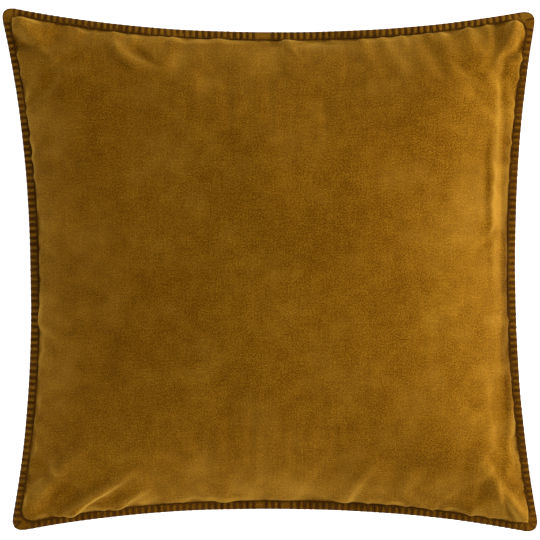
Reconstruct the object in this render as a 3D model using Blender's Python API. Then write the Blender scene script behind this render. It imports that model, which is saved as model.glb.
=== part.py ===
"""Throw pillow: a velvet cover with a flat overlocked edge and a zip in its back, round a fibre insert.

The pillow lies on its back. +X is its right side, +Y its top edge, and +Z comes out of its front panel.
The origin is on the ground under the middle. Everything is in metres.
"""

import math

import bmesh
import bpy
from mathutils import Matrix, Vector

# Cover, measured over its edge threads
COVER_WIDTH = 0.499
COVER_DEPTH = 0.488
# How far the middle of each side is drawn in from the cover's box
SIDE_PULL = {"bottom": 0.0210, "right": 0.0205, "top": 0.0220, "left": 0.0261}
# How far each corner's tip sits in from the box's corner, anticlockwise from the bottom left
CORNER_SETBACK = ((0.0095, 0.0015), (0.0, 0.0), (0.0025, 0.0030), (0.0, 0.0))
SIDE_CURVE = 2.2
CORNER_CUT = 0.0165
SEAM_CORNER_CUT = 0.0200
FLANGE_WIDTH = 0.0090
FLANGE_HEIGHT = 0.0600
FRONT_RISE = 0.0680
BACK_DROP = 0.0700
FULLNESS = 0.60
VELVET = 0.0012
EDGE_THREAD = 0.0008
NEEDLE_THREAD = 0.0007
GAP = 0.0003

# Insert
INSERT_INSET = 0.0170
INSERT_ALLOWANCE = 0.0050
INSERT_CORNER_CUT = 0.0400
INSERT_ROOM = 0.0040
CASING = 0.0006
FILL_ROOM = 0.0030
FILL_INSET = 0.0040
FILL_RIM = 0.0010

# Zip, in the back panel near the bottom edge
ZIP_LENGTH = 0.3200
ZIP_FROM_SEAM = 0.0340
ZIP_DROP = 0.0260
ZIP_TILT = math.radians(22)
ZIP_ROOM = 0.0035
TAPE_WIDTH = 0.0122
TAPE_THICKNESS = 0.0005
TAPE_TAIL = 0.0080
STRIP_MARGIN = 0.0020
ROW_OFFSET = 0.0022
ROW_TAIL = 0.0010
ROW_THICKNESS = 0.0005
COIL_WIDTH = 0.0020
COIL_THICKNESS = 0.0016
COIL_SPLIT = 0.0016
STOP_LENGTH = 0.0030
STOP_THICKNESS = 0.0017
STOP_OVERHANG = 0.0003
STOP_BEVEL = 0.0003
TACK_WIDTH = 0.0016
TACK_THICKNESS = 0.0007
TACK_OVERLAP = 0.0012
TACK_SETBACK = 0.0015
SLIDER_LENGTH = 0.0095
SLIDER_PLATE = 0.0011
SLIDER_LIP = 0.0005
SLIDER_ROOM = 0.00035
SLOT_ROOM = 0.0006
POST_WIDTH = 0.0008
POST_LENGTH = 0.0030
BRIDGE_WIDTH = 0.0014
BRIDGE_LEG = 0.0009
BRIDGE_SPAN = 0.0040
BRIDGE_OPENING = 0.0023
BRIDGE_SEAT = 0.0001
JOIN = 0.0002
PULL_BAR = 0.0010
PULL_WIDTH = 0.0056
PULL_LENGTH = 0.0160
PULL_ROOM = 0.0006

# Labels
LABEL_THICKNESS = 0.0003
CARE_LABEL = (0.035, 0.045)
INSERT_LABEL = (0.040, 0.036)
INSERT_LABEL_INSET = 0.004

# Cells along each side of a panel's mesh
CELLS = 16

VELVET_COLOR = (0.30, 0.14, 0.018)
THREAD_COLOR = (0.045, 0.014, 0.006)
TAPE_COLOR = (0.19, 0.09, 0.016)
COIL_COLOR = (0.10, 0.045, 0.012)
METAL_COLOR = (0.55, 0.42, 0.22)
METAL_ROUGHNESS = 0.32
CASING_COLOR = (0.80, 0.78, 0.74)
SEWING_COLOR = (0.85, 0.84, 0.80)
FIBRE_COLOR = (0.90, 0.90, 0.90)
LABEL_COLOR = (0.86, 0.85, 0.82)

SIDES = ("bottom", "right", "top", "left")
# Per side: the axis it runs along, and the sign of its place on the other axis
SIDE_AXIS = {"bottom": (0, -1), "right": (1, 1), "top": (0, 1), "left": (1, -1)}
CORNER_SIGNS = ((-1, -1), (1, -1), (1, 1), (-1, 1))
HALF = (COVER_WIDTH / 2, COVER_DEPTH / 2)

PANEL_INSET = EDGE_THREAD + GAP
FRONT_BASE = FLANGE_HEIGHT + GAP / 2
BACK_BASE = FLANGE_HEIGHT - GAP / 2
REST_DROP = BACK_BASE - VELVET


class Outline:
    """A closed line a set distance inside the pillow's edge, with its corners cut round."""

    def __init__(self, inset, cut, corners=None):
        self.inset = inset
        self.cut = cut
        corners = corners or SHARP_CORNERS
        self.corners = [
            (x - sx * inset, y - sy * inset) for (x, y), (sx, sy) in zip(corners, CORNER_SIGNS)
        ]
        curves = [self.rounded(i, step / 8) for i in range(4) for step in range(9)]
        self.corner_share = max(self.inward(*point) for point in curves)

    def across(self, side, along):
        """Where a side's line lies on its other axis, at a place along it."""
        axis, sign = SIDE_AXIS[side]
        start = self.corners[SIDES.index(side)]
        end = self.corners[(SIDES.index(side) + 1) % 4]
        share = (along - start[axis]) / (end[axis] - start[axis])
        share = min(1.0, max(0.0, share))
        other = 1 - axis
        middle = sign * (HALF[other] - SIDE_PULL[side] - self.inset)
        pull = middle - (start[other] + end[other]) / 2
        bow = 1 - abs(2 * share - 1) ** SIDE_CURVE
        return start[other] + (end[other] - start[other]) * share + pull * bow

    def on_side(self, side, along):
        axis = SIDE_AXIS[side][0]
        place = (along, self.across(side, along))
        return Vector(place if axis == 0 else place[::-1])

    def span(self, side):
        """The places along a side where its line leaves one rounded corner and meets the next."""
        axis = SIDE_AXIS[side][0]
        start = self.corners[SIDES.index(side)][axis]
        end = self.corners[(SIDES.index(side) + 1) % 4][axis]
        step = math.copysign(self.cut, end - start)
        return start + step, end - step

    def rounded(self, corner, share):
        """A point on a corner's curve, from the side before it to the side after it."""
        before = self.on_side(SIDES[corner - 1], self.span(SIDES[corner - 1])[1])
        after = self.on_side(SIDES[corner], self.span(SIDES[corner])[0])
        tip = Vector(self.corners[corner])
        return before * (1 - share) ** 2 + tip * 2 * share * (1 - share) + after * share**2

    def run(self, side):
        """CELLS + 1 points along a side, from the middle of one corner to the middle of the next."""
        corner = SIDES.index(side)
        start, end = self.span(side)
        cells = CELLS - 4
        eased = [0.5 - 0.5 * math.sin(math.pi * (0.5 - i / cells) * 0.8) / math.sin(math.pi * 0.4)
                 for i in range(cells + 1)]
        points = [self.rounded(corner, 0.5), self.rounded(corner, 0.75)]
        points += [self.on_side(side, start + (end - start) * share) for share in eased]
        points += [self.rounded((corner + 1) % 4, 0.25), self.rounded((corner + 1) % 4, 0.5)]
        return points

    def loop(self):
        return [point for side in SIDES for point in self.run(side)[:-1]]

    def inward(self, x, y):
        """0 on the side lines, 1 in the middle."""
        across = x / self.across("right" if x > 0 else "left", y)
        along = y / self.across("top" if y > 0 else "bottom", x)
        return max(0.0, 1 - across**2) * max(0.0, 1 - along**2)

    def swell(self, x, y):
        """How far a panel sewn along this line swells: 0 on the line, its corners too, 1 in the middle."""
        share = (self.inward(x, y) - self.corner_share) / (1 - self.corner_share)
        return max(0.0, share) ** FULLNESS


def sharp_corners():
    """Where the side lines would meet, placed so that each rounded tip reaches its own place."""
    tips = [
        (sx * (HALF[0] - dx), sy * (HALF[1] - dy))
        for (sx, sy), (dx, dy) in zip(CORNER_SIGNS, CORNER_SETBACK)
    ]
    corners = list(tips)
    for _ in range(8):
        outline = Outline(0.0, CORNER_CUT, corners)
        for i, (sx, sy) in enumerate(CORNER_SIGNS):
            curve = [outline.rounded(i, step / 40) for step in range(41)]
            reach = (max(p.x * sx for p in curve) * sx, max(p.y * sy for p in curve) * sy)
            corners[i] = tuple(c + tip - r for c, tip, r in zip(corners[i], tips[i], reach))
    return corners


SHARP_CORNERS = sharp_corners()
PANEL_EDGE = Outline(PANEL_INSET, CORNER_CUT)
SEAM = Outline(FLANGE_WIDTH, SEAM_CORNER_CUT)
CASING_EDGE = Outline(INSERT_INSET - INSERT_ALLOWANCE, INSERT_CORNER_CUT)
CASING_SEAM = Outline(INSERT_INSET, INSERT_CORNER_CUT)
FILL_EDGE = Outline(INSERT_INSET + FILL_INSET, INSERT_CORNER_CUT)

# Zip: half the window in the panel, and the flat strip round it
SLIDER_HALF = COIL_SPLIT / 2 + COIL_WIDTH + GAP + SLIDER_LIP
WINDOW_HALF_WIDTH = SLIDER_HALF + SLOT_ROOM
WINDOW_HALF_LENGTH = ZIP_LENGTH / 2 + STOP_LENGTH + 3 * GAP + SLOT_ROOM
TAPE_HALF_LENGTH = WINDOW_HALF_LENGTH + TAPE_TAIL
STRIP_HALF_LENGTH = TAPE_HALF_LENGTH + STRIP_MARGIN
STRIP_HALF_WIDTH = (COIL_SPLIT / 2 + TAPE_WIDTH + STRIP_MARGIN) * math.cos(ZIP_TILT)
ZIP_Y = SEAM.across("bottom", 0.0) + ZIP_FROM_SEAM
# The strip eases into the swelling panel before it meets the seams
SIDE_EASE = ZIP_FROM_SEAM - STRIP_HALF_WIDTH
END_EASE = min(SEAM.across("right", ZIP_Y), -SEAM.across("left", ZIP_Y)) - STRIP_HALF_LENGTH

# Heights along the zip's own outward direction, from the cover's outer face
TAPE_OUTER = -VELVET * math.cos(ZIP_TILT) - GAP
TAPE_INNER = TAPE_OUTER - TAPE_THICKNESS
COIL_INNER = TAPE_OUTER + GAP
COIL_OUTER = COIL_INNER + COIL_THICKNESS
PLATE_UNDER = COIL_OUTER + SLIDER_ROOM
PLATE_OUTER = PLATE_UNDER + SLIDER_PLATE
BACK_PLATE_OUTER = TAPE_INNER - SLIDER_ROOM
BACK_PLATE_INNER = BACK_PLATE_OUTER - SLIDER_PLATE
HINGE_HEIGHT = PLATE_OUTER + (BRIDGE_OPENING + BRIDGE_SEAT) / 2
SLIDER_CLOSED = -(ZIP_LENGTH / 2 - SLIDER_LENGTH / 2 - GAP)
SLIDE_TRAVEL = -2 * SLIDER_CLOSED


def eased(distance, reach):
    """1 within no distance, falling smoothly to 0 at the reach."""
    share = min(1.0, max(0.0, 1 - distance / reach))
    return share * share * (3 - 2 * share)


def zip_share(x, y):
    """1 over the flat strip that carries the zip, easing to 0 round it."""
    past_end = max(0.0, abs(x) - STRIP_HALF_LENGTH)
    past_side = max(0.0, abs(y - ZIP_Y) - STRIP_HALF_WIDTH)
    return eased(past_end, END_EASE) * eased(past_side, SIDE_EASE)


def front_rise(x, y):
    return FRONT_RISE * SEAM.swell(x, y)


def back_drop(x, y):
    """How far the back panel hangs below the flange: it rests on the ground, and is straight at the zip."""
    free = min(BACK_DROP * SEAM.swell(x, y), REST_DROP)
    strip = ZIP_DROP + math.tan(ZIP_TILT) * (y - ZIP_Y)
    return free + (strip - free) * zip_share(x, y)


def casing_rise(x, y):
    return max(0.0, min(FRONT_RISE * CASING_SEAM.swell(x, y), front_rise(x, y) - INSERT_ROOM))


def casing_drop(x, y):
    room = INSERT_ROOM + ZIP_ROOM * zip_share(x, y)
    return max(0.0, min(BACK_DROP * CASING_SEAM.swell(x, y), back_drop(x, y) - room))


def material(name, color, roughness, metallic=0.0):
    made = bpy.data.materials.new(name)
    made.use_nodes = True
    shader = made.node_tree.nodes["Principled BSDF"]
    shader.inputs["Base Color"].default_value = (*color, 1.0)
    shader.inputs["Roughness"].default_value = roughness
    shader.inputs["Metallic"].default_value = metallic
    return made


def add_object(name, bm, color, roughness=0.9, metallic=0.0, smooth=35):
    """An object of its own from a mesh in the making, with its own material."""
    bmesh.ops.recalc_face_normals(bm, faces=bm.faces)
    mesh = bpy.data.meshes.new(name)
    bm.to_mesh(mesh)
    bm.free()
    mesh.shade_smooth()
    mesh.set_sharp_from_angle(angle=math.radians(smooth))
    obj = bpy.data.objects.new(name, mesh)
    bpy.context.scene.collection.objects.link(obj)
    mesh.materials.append(material(name, color, roughness, metallic))
    return obj


def patch_points(outline):
    """A grid of plan points that fills an outline, its four edges lying on the outline's sides."""
    bottom, right, top, left = (outline.run(side) for side in SIDES)
    top = top[::-1]
    left = left[::-1]
    shares_x = [(p.x - bottom[0].x) / (bottom[-1].x - bottom[0].x) for p in bottom]
    shares_y = [(p.y - right[0].y) / (right[-1].y - right[0].y) for p in right]
    rows = []
    for j, v in enumerate(shares_y):
        row = []
        for i, u in enumerate(shares_x):
            sides = bottom[i] * (1 - v) + top[i] * v + left[j] * (1 - u) + right[j] * u
            lower = bottom[0] * (1 - u) + bottom[-1] * u
            upper = top[0] * (1 - u) + top[-1] * u
            row.append(sides - lower * (1 - v) - upper * v)
        rows.append(row)
    return rows


def plan_mesh(outline, edge=None):
    """A flat mesh over an outline, with a border strip out to a second outline where one is given."""
    bm = bmesh.new()
    rows = [[bm.verts.new((*point, 0.0)) for point in row] for row in patch_points(outline)]
    for lower, upper in zip(rows, rows[1:]):
        for i in range(CELLS):
            bm.faces.new((lower[i], lower[i + 1], upper[i + 1], upper[i]))
    if edge:
        inner = rows[0][:-1] + [row[-1] for row in rows[:-1]]
        inner += rows[-1][:0:-1] + [row[0] for row in rows[:0:-1]]
        outer = [bm.verts.new((*point, 0.0)) for point in edge.loop()]
        for i in range(len(outer)):
            after = (i + 1) % len(outer)
            bm.faces.new((inner[i], outer[i], outer[after], inner[after]))
    return bm


def cut_line(bm, place, normal):
    geometry = bm.verts[:] + bm.edges[:] + bm.faces[:]
    bmesh.ops.bisect_plane(bm, geom=geometry, dist=1e-6, plane_co=place, plane_no=normal)


def sheet(plan, lower, upper):
    """A closed sheet over a flat plan mesh, between two heights that are functions of x and y."""
    bmesh.ops.triangulate(plan, faces=plan.faces)
    bm = bmesh.new()
    under = {v: bm.verts.new((v.co.x, v.co.y, lower(v.co.x, v.co.y))) for v in plan.verts}
    over = {v: bm.verts.new((v.co.x, v.co.y, upper(v.co.x, v.co.y))) for v in plan.verts}
    for face in plan.faces:
        bm.faces.new([over[v] for v in face.verts])
        bm.faces.new([under[v] for v in reversed(face.verts)])
    for edge in plan.edges:
        if edge.is_boundary:
            a, b = edge.verts
            bm.faces.new((over[a], over[b], under[b], under[a]))
    plan.free()
    return bm


def ring(profile):
    """A closed band round the pillow, from a profile of (outline, height) pairs."""
    bm = bmesh.new()
    loops = [
        [bm.verts.new((*point, height)) for point in outline.loop()] for outline, height in profile
    ]
    for first, second in zip(loops, loops[1:] + loops[:1]):
        for i in range(len(first)):
            after = (i + 1) % len(first)
            bm.faces.new((first[i], first[after], second[after], second[i]))
    return bm


def box(low, high, bevel=0.0):
    """A box between two corners, its edges rounded by a width."""
    bm = bmesh.new()
    size = Vector(high) - Vector(low)
    centre = (Vector(high) + Vector(low)) / 2
    bmesh.ops.create_cube(bm, size=1.0, matrix=Matrix.Translation(centre) @ Matrix.Diagonal((*size, 1)))
    if bevel:
        bmesh.ops.bevel(
            bm, geom=bm.edges[:], offset=bevel, segments=2, profile=0.5, affect="EDGES"
        )
    return bm


def helper(name, bm):
    """A shape that only cuts or joins, never a part of its own."""
    obj = add_object(name, bm, (0.5, 0.5, 0.5))
    obj.hide_render = True
    obj.display_type = "WIRE"
    return obj


def combine(target, tool, operation):
    modifier = target.modifiers.new(tool.name, "BOOLEAN")
    modifier.operation = operation
    modifier.object = tool


def make_cover():
    plan = plan_mesh(SEAM, PANEL_EDGE)
    front = sheet(
        plan,
        lambda x, y: FRONT_BASE + front_rise(x, y),
        lambda x, y: FRONT_BASE + VELVET + front_rise(x, y),
    )
    add_object("front_panel", front, VELVET_COLOR)
    for name, side in (("back_panel_upper", 1), ("back_panel_lower", -1)):
        back = sheet(
            back_plan(side),
            lambda x, y: BACK_BASE - VELVET - back_drop(x, y),
            lambda x, y: BACK_BASE - back_drop(x, y),
        )
        add_object(name, back, VELVET_COLOR)


def back_plan(side):
    """The plan of the back on one side of the zip, with the window round the teeth left out."""
    plan = plan_mesh(SEAM, PANEL_EDGE)
    half_width = WINDOW_HALF_WIDTH * math.cos(ZIP_TILT)
    eased_lines = [STRIP_HALF_WIDTH + SIDE_EASE * share for share in (0.25, 0.5, 0.75, 1.0)]
    for offset in (GAP / 2, half_width, STRIP_HALF_WIDTH, *eased_lines):
        cut_line(plan, (0, ZIP_Y + offset, 0), (0, 1, 0))
    for offset in (GAP / 2, half_width, STRIP_HALF_WIDTH):
        cut_line(plan, (0, ZIP_Y - offset, 0), (0, 1, 0))
    for offset in (WINDOW_HALF_LENGTH, STRIP_HALF_LENGTH):
        cut_line(plan, (offset, 0, 0), (1, 0, 0))
        cut_line(plan, (-offset, 0, 0), (1, 0, 0))

    def left_out(face):
        middle = face.calc_center_median()
        offset = (middle.y - ZIP_Y) * side
        in_window = abs(middle.x) < WINDOW_HALF_LENGTH and offset < half_width
        return offset < GAP / 2 or in_window

    bmesh.ops.delete(plan, geom=[face for face in plan.faces if left_out(face)], context="FACES")
    return plan


def make_edge_threads():
    """The overlock threads: a looper thread over each face of the flat edge, and the needle thread."""
    outer = Outline(0.0, CORNER_CUT)
    wall = Outline(EDGE_THREAD, CORNER_CUT)
    inner = Outline(FLANGE_WIDTH - 3 * NEEDLE_THREAD, SEAM_CORNER_CUT)
    under = GAP / 2 + VELVET + GAP
    over = under + EDGE_THREAD
    for name, sign in (("edge_front_looper_thread", 1), ("edge_back_looper_thread", -1)):
        profile = ((outer, GAP / 2), (outer, over), (inner, over),
                   (inner, under), (wall, under), (wall, GAP / 2))
        band = ring([(outline, FLANGE_HEIGHT + sign * height) for outline, height in profile])
        add_object(name, band, THREAD_COLOR)
    near = Outline(FLANGE_WIDTH - NEEDLE_THREAD, SEAM_CORNER_CUT)
    far = Outline(FLANGE_WIDTH - 2 * NEEDLE_THREAD, SEAM_CORNER_CUT)
    low = FLANGE_HEIGHT + under
    row = ring(((far, low), (far, low + NEEDLE_THREAD), (near, low + NEEDLE_THREAD), (near, low)))
    add_object("edge_needle_thread", row, THREAD_COLOR)


def make_insert():
    def front_under(x, y):
        return FRONT_BASE + casing_rise(x, y)

    def back_over(x, y):
        return BACK_BASE - casing_drop(x, y)

    def fill_top(x, y):
        rim = FLANGE_HEIGHT + FILL_RIM / 2 + FRONT_RISE * FILL_EDGE.swell(x, y)
        return min(rim, max(front_under(x, y) - FILL_ROOM, FLANGE_HEIGHT + FILL_RIM / 2))

    def fill_bottom(x, y):
        rim = FLANGE_HEIGHT - FILL_RIM / 2 - BACK_DROP * FILL_EDGE.swell(x, y)
        return max(rim, min(back_over(x, y) + FILL_ROOM, FLANGE_HEIGHT - FILL_RIM / 2))

    front = sheet(
        plan_mesh(CASING_SEAM, CASING_EDGE), front_under, lambda x, y: front_under(x, y) + CASING
    )
    back = sheet(
        plan_mesh(CASING_SEAM, CASING_EDGE), lambda x, y: back_over(x, y) - CASING, back_over
    )
    add_object("insert_casing_front", front, CASING_COLOR)
    add_object("insert_casing_back", back, CASING_COLOR)
    add_object("insert_fill", sheet(plan_mesh(FILL_EDGE), fill_bottom, fill_top), FIBRE_COLOR)

    middle = INSERT_INSET - INSERT_ALLOWANCE / 2
    near = Outline(middle + NEEDLE_THREAD / 2, INSERT_CORNER_CUT)
    far = Outline(middle - NEEDLE_THREAD / 2, INSERT_CORNER_CUT)
    low = FRONT_BASE + CASING + GAP
    row = ring(((far, low), (far, low + NEEDLE_THREAD), (near, low + NEEDLE_THREAD), (near, low)))
    add_object("insert_seam_thread", row, SEWING_COLOR)


def label_plan(size, centre):
    bm = bmesh.new()
    place = Matrix.Translation((*centre, 0.0)) @ Matrix.Diagonal((*size, 1.0, 1.0))
    bmesh.ops.create_grid(bm, x_segments=4, y_segments=4, size=0.5, matrix=place)
    return bm


def make_labels():
    care_y = ZIP_Y + STRIP_HALF_WIDTH + CARE_LABEL[1] / 2
    care_x = -WINDOW_HALF_LENGTH / 2

    def care_under(x, y):
        return BACK_BASE - back_drop(x, y) + (INSERT_ROOM - CASING - LABEL_THICKNESS) / 2

    care = sheet(
        label_plan(CARE_LABEL, (care_x, care_y)),
        care_under,
        lambda x, y: care_under(x, y) + LABEL_THICKNESS,
    )
    add_object("care_label", care, LABEL_COLOR)

    insert_y = CASING_SEAM.across("top", 0.0) - INSERT_LABEL[1] / 2 - INSERT_LABEL_INSET

    def insert_under(x, y):
        return FRONT_BASE + casing_rise(x, y) + (INSERT_ROOM + CASING - LABEL_THICKNESS) / 2

    label = sheet(
        label_plan(INSERT_LABEL, (INSERT_LABEL[0], insert_y)),
        insert_under,
        lambda x, y: insert_under(x, y) + LABEL_THICKNESS,
    )
    add_object("insert_label", label, LABEL_COLOR)


def make_zip_frame():
    """An empty at the middle of the zip: +X runs the way it opens, +Y up the panel, +Z outwards."""
    frame = bpy.data.objects.new("zip_frame", None)
    bpy.context.scene.collection.objects.link(frame)
    up = Vector((0, math.cos(ZIP_TILT), -math.sin(ZIP_TILT)))
    out = Vector((0, -math.sin(ZIP_TILT), -math.cos(ZIP_TILT)))
    turn = Matrix((Vector((-1, 0, 0)), up, out)).transposed().to_4x4()
    frame.matrix_world = Matrix.Translation((0, ZIP_Y, REST_DROP - ZIP_DROP)) @ turn
    return frame


def put_in(frame, obj, place=(0, 0, 0)):
    obj.parent = frame
    obj.location = place
    return obj


def make_zip_tapes(frame):
    split = COIL_SPLIT / 2
    coil_end = ZIP_LENGTH / 2
    row_start = WINDOW_HALF_WIDTH + ROW_OFFSET
    row_end = WINDOW_HALF_LENGTH + ROW_TAIL
    for name, side in (("upper", 1), ("lower", -1)):

        def strip(ends, edges, heights, bevel=0.0):
            """A bar along the zip on this side of it, from its ends, its two edges and its heights."""
            low, high = sorted(edge * side for edge in edges)
            return box((ends[0], low, heights[0]), (ends[1], high, heights[1]), bevel)

        tape = strip((-TAPE_HALF_LENGTH, TAPE_HALF_LENGTH), (split, split + TAPE_WIDTH),
                     (TAPE_INNER, TAPE_OUTER))
        put_in(frame, add_object("zip_tape_" + name, tape, TAPE_COLOR))

        coil = strip((-coil_end, coil_end), (split, split + COIL_WIDTH),
                     (COIL_INNER, COIL_OUTER), COIL_THICKNESS * 0.3)
        put_in(frame, add_object("zip_coil_" + name, coil, COIL_COLOR, 0.45))

        row = strip((-row_end, row_end), (row_start, row_start + NEEDLE_THREAD),
                    (GAP, GAP + ROW_THICKNESS))
        put_in(frame, add_object("zip_seam_thread_" + name, row, THREAD_COLOR))

        stop = strip((-STOP_LENGTH, 0), (split, split + COIL_WIDTH + STOP_OVERHANG),
                     (COIL_INNER, COIL_INNER + STOP_THICKNESS), STOP_BEVEL)
        stop = add_object("zip_top_stop_" + name, stop, METAL_COLOR, METAL_ROUGHNESS, 1.0)
        put_in(frame, stop, (-coil_end - GAP, 0, 0))

    stop_half = split + COIL_WIDTH
    stop = box((0, -stop_half, COIL_INNER), (STOP_LENGTH, stop_half, COIL_INNER + STOP_THICKNESS),
               STOP_BEVEL)
    stop = add_object("zip_bottom_stop", stop, METAL_COLOR, METAL_ROUGHNESS, 1.0)
    put_in(frame, stop, (coil_end + GAP, 0, 0))

    tack_half = WINDOW_HALF_WIDTH + TACK_OVERLAP
    for name, side in (("left", 1), ("right", -1)):
        tack = box((-TACK_WIDTH / 2, -tack_half, GAP), (TACK_WIDTH / 2, tack_half, GAP + TACK_THICKNESS),
                   TACK_THICKNESS * 0.3)
        tack = add_object("zip_end_tack_" + name, tack, THREAD_COLOR)
        put_in(frame, tack, (side * (WINDOW_HALF_LENGTH + TACK_SETBACK + TACK_WIDTH), 0, 0))


def make_slider(frame):
    """The slider: an outer plate with a lip on each side, a plate behind the tapes, a post and a bridge."""
    half = SLIDER_LENGTH / 2
    place = (SLIDER_CLOSED, 0, 0)
    plate = box((-half, -SLIDER_HALF, PLATE_UNDER), (half, SLIDER_HALF, PLATE_OUTER))
    slider = add_object("zip_slider", plate, METAL_COLOR, METAL_ROUGHNESS, 1.0)
    put_in(frame, slider, place)
    post_start = GAP - half
    leg_out = BRIDGE_SPAN / 2 + BRIDGE_LEG
    crown = PLATE_OUTER + BRIDGE_OPENING + BRIDGE_LEG
    joined = {
        "back_plate": box((-half, -SLIDER_HALF, BACK_PLATE_INNER), (half, SLIDER_HALF, BACK_PLATE_OUTER)),
        "post": box((post_start, -POST_WIDTH / 2, BACK_PLATE_OUTER - JOIN),
                    (post_start + POST_LENGTH, POST_WIDTH / 2, PLATE_UNDER + JOIN)),
        "bridge": box((-leg_out, -BRIDGE_WIDTH / 2, PLATE_OUTER - JOIN),
                      (leg_out, BRIDGE_WIDTH / 2, crown)),
    }
    for name, side in (("lip_upper", 1), ("lip_lower", -1)):
        low, high = sorted((side * SLIDER_HALF, side * (SLIDER_HALF - SLIDER_LIP)))
        joined[name] = box((-half, low, TAPE_OUTER + SLIDER_ROOM), (half, high, PLATE_UNDER + JOIN))
    for name, bm in joined.items():
        combine(slider, put_in(frame, helper("slider_" + name, bm), place), "UNION")
    opening = box((-BRIDGE_SPAN / 2, -BRIDGE_WIDTH, PLATE_OUTER + BRIDGE_SEAT),
                  (BRIDGE_SPAN / 2, BRIDGE_WIDTH, PLATE_OUTER + BRIDGE_OPENING))
    combine(slider, put_in(frame, helper("slider_opening", opening), place), "DIFFERENCE")


def make_pull_tab(frame):
    """The pull tab hangs on the slider's bridge by a square eye. Its origin is on the hinge."""
    half = PULL_WIDTH / 2
    thick = PULL_BAR / 2
    tab = box((-thick, -half, -thick), (thick, half, PULL_LENGTH))
    place = (SLIDER_CLOSED, 0, HINGE_HEIGHT)
    tab = add_object("zip_pull_tab", tab, METAL_COLOR, METAL_ROUGHNESS, 1.0)
    put_in(frame, tab, place)
    eye_half = BRIDGE_WIDTH / 2 + PULL_ROOM
    eye_end = BRIDGE_SPAN / 2 + BRIDGE_LEG + PULL_BAR
    eye = box((-2 * thick, -eye_half, thick), (2 * thick, eye_half, eye_end))
    combine(tab, put_in(frame, helper("pull_eye", eye), place), "DIFFERENCE")
    bevel = tab.modifiers.new("rounding", "BEVEL")
    bevel.width = PULL_BAR * 0.2
    bevel.segments = 2
    bevel.limit_method = "ANGLE"


def main():
    for obj in list(bpy.data.objects):
        bpy.data.objects.remove(obj)
    make_cover()
    make_edge_threads()
    make_insert()
    make_labels()
    frame = make_zip_frame()
    make_zip_tapes(frame)
    make_slider(frame)
    make_pull_tab(frame)


main()
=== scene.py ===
import math

import bpy
import numpy as np
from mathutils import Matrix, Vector


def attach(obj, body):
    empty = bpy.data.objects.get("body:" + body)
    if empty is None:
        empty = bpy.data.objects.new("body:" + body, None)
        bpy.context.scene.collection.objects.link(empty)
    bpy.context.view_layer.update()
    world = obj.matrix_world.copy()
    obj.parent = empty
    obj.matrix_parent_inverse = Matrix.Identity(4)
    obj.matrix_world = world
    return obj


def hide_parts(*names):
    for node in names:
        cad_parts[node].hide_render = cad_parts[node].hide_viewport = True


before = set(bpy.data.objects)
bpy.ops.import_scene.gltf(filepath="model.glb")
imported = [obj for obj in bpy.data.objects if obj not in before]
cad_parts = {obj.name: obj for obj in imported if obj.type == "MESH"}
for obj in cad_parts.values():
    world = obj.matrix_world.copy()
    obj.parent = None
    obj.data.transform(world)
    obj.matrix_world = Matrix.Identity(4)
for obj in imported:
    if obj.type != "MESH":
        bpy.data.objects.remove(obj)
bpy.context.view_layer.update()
print("frame loaded")

# outline of the cover
cover = {
    "size": (0.499, 0.488),  # of the square that the tips of the corners reach
    "sidePull": (0.0210, 0.0205, 0.0220, 0.0261),  # how far each side bows in: bottom, right, top, left
    "cornerSetback": ((0.0095, 0.0015), (0.0, 0.0), (0.0025, 0.0030), (0.0, 0.0)),
    "sideCurve": 2.2,
    "cornerCut": 0.0165,
    "seamCornerCut": 0.0200,
    "flangeWidth": 0.0090,
    "flangeHeight": 0.0600,
    "frontRise": 0.0680,
    "backDrop": 0.0700,
    "fullness": 0.60,
    "velvet": 0.0012,
    "thread": 0.0008,
    "gap": 0.0003,
}
halfSize = np.array(cover["size"]) / 2
cornerSigns = np.array([(-1, -1), (1, -1), (1, 1), (-1, 1)], float)
sideAxis = ((0, -1), (1, 1), (0, 1), (1, -1))  # the axis each side runs along, and its sign on the other


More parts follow.
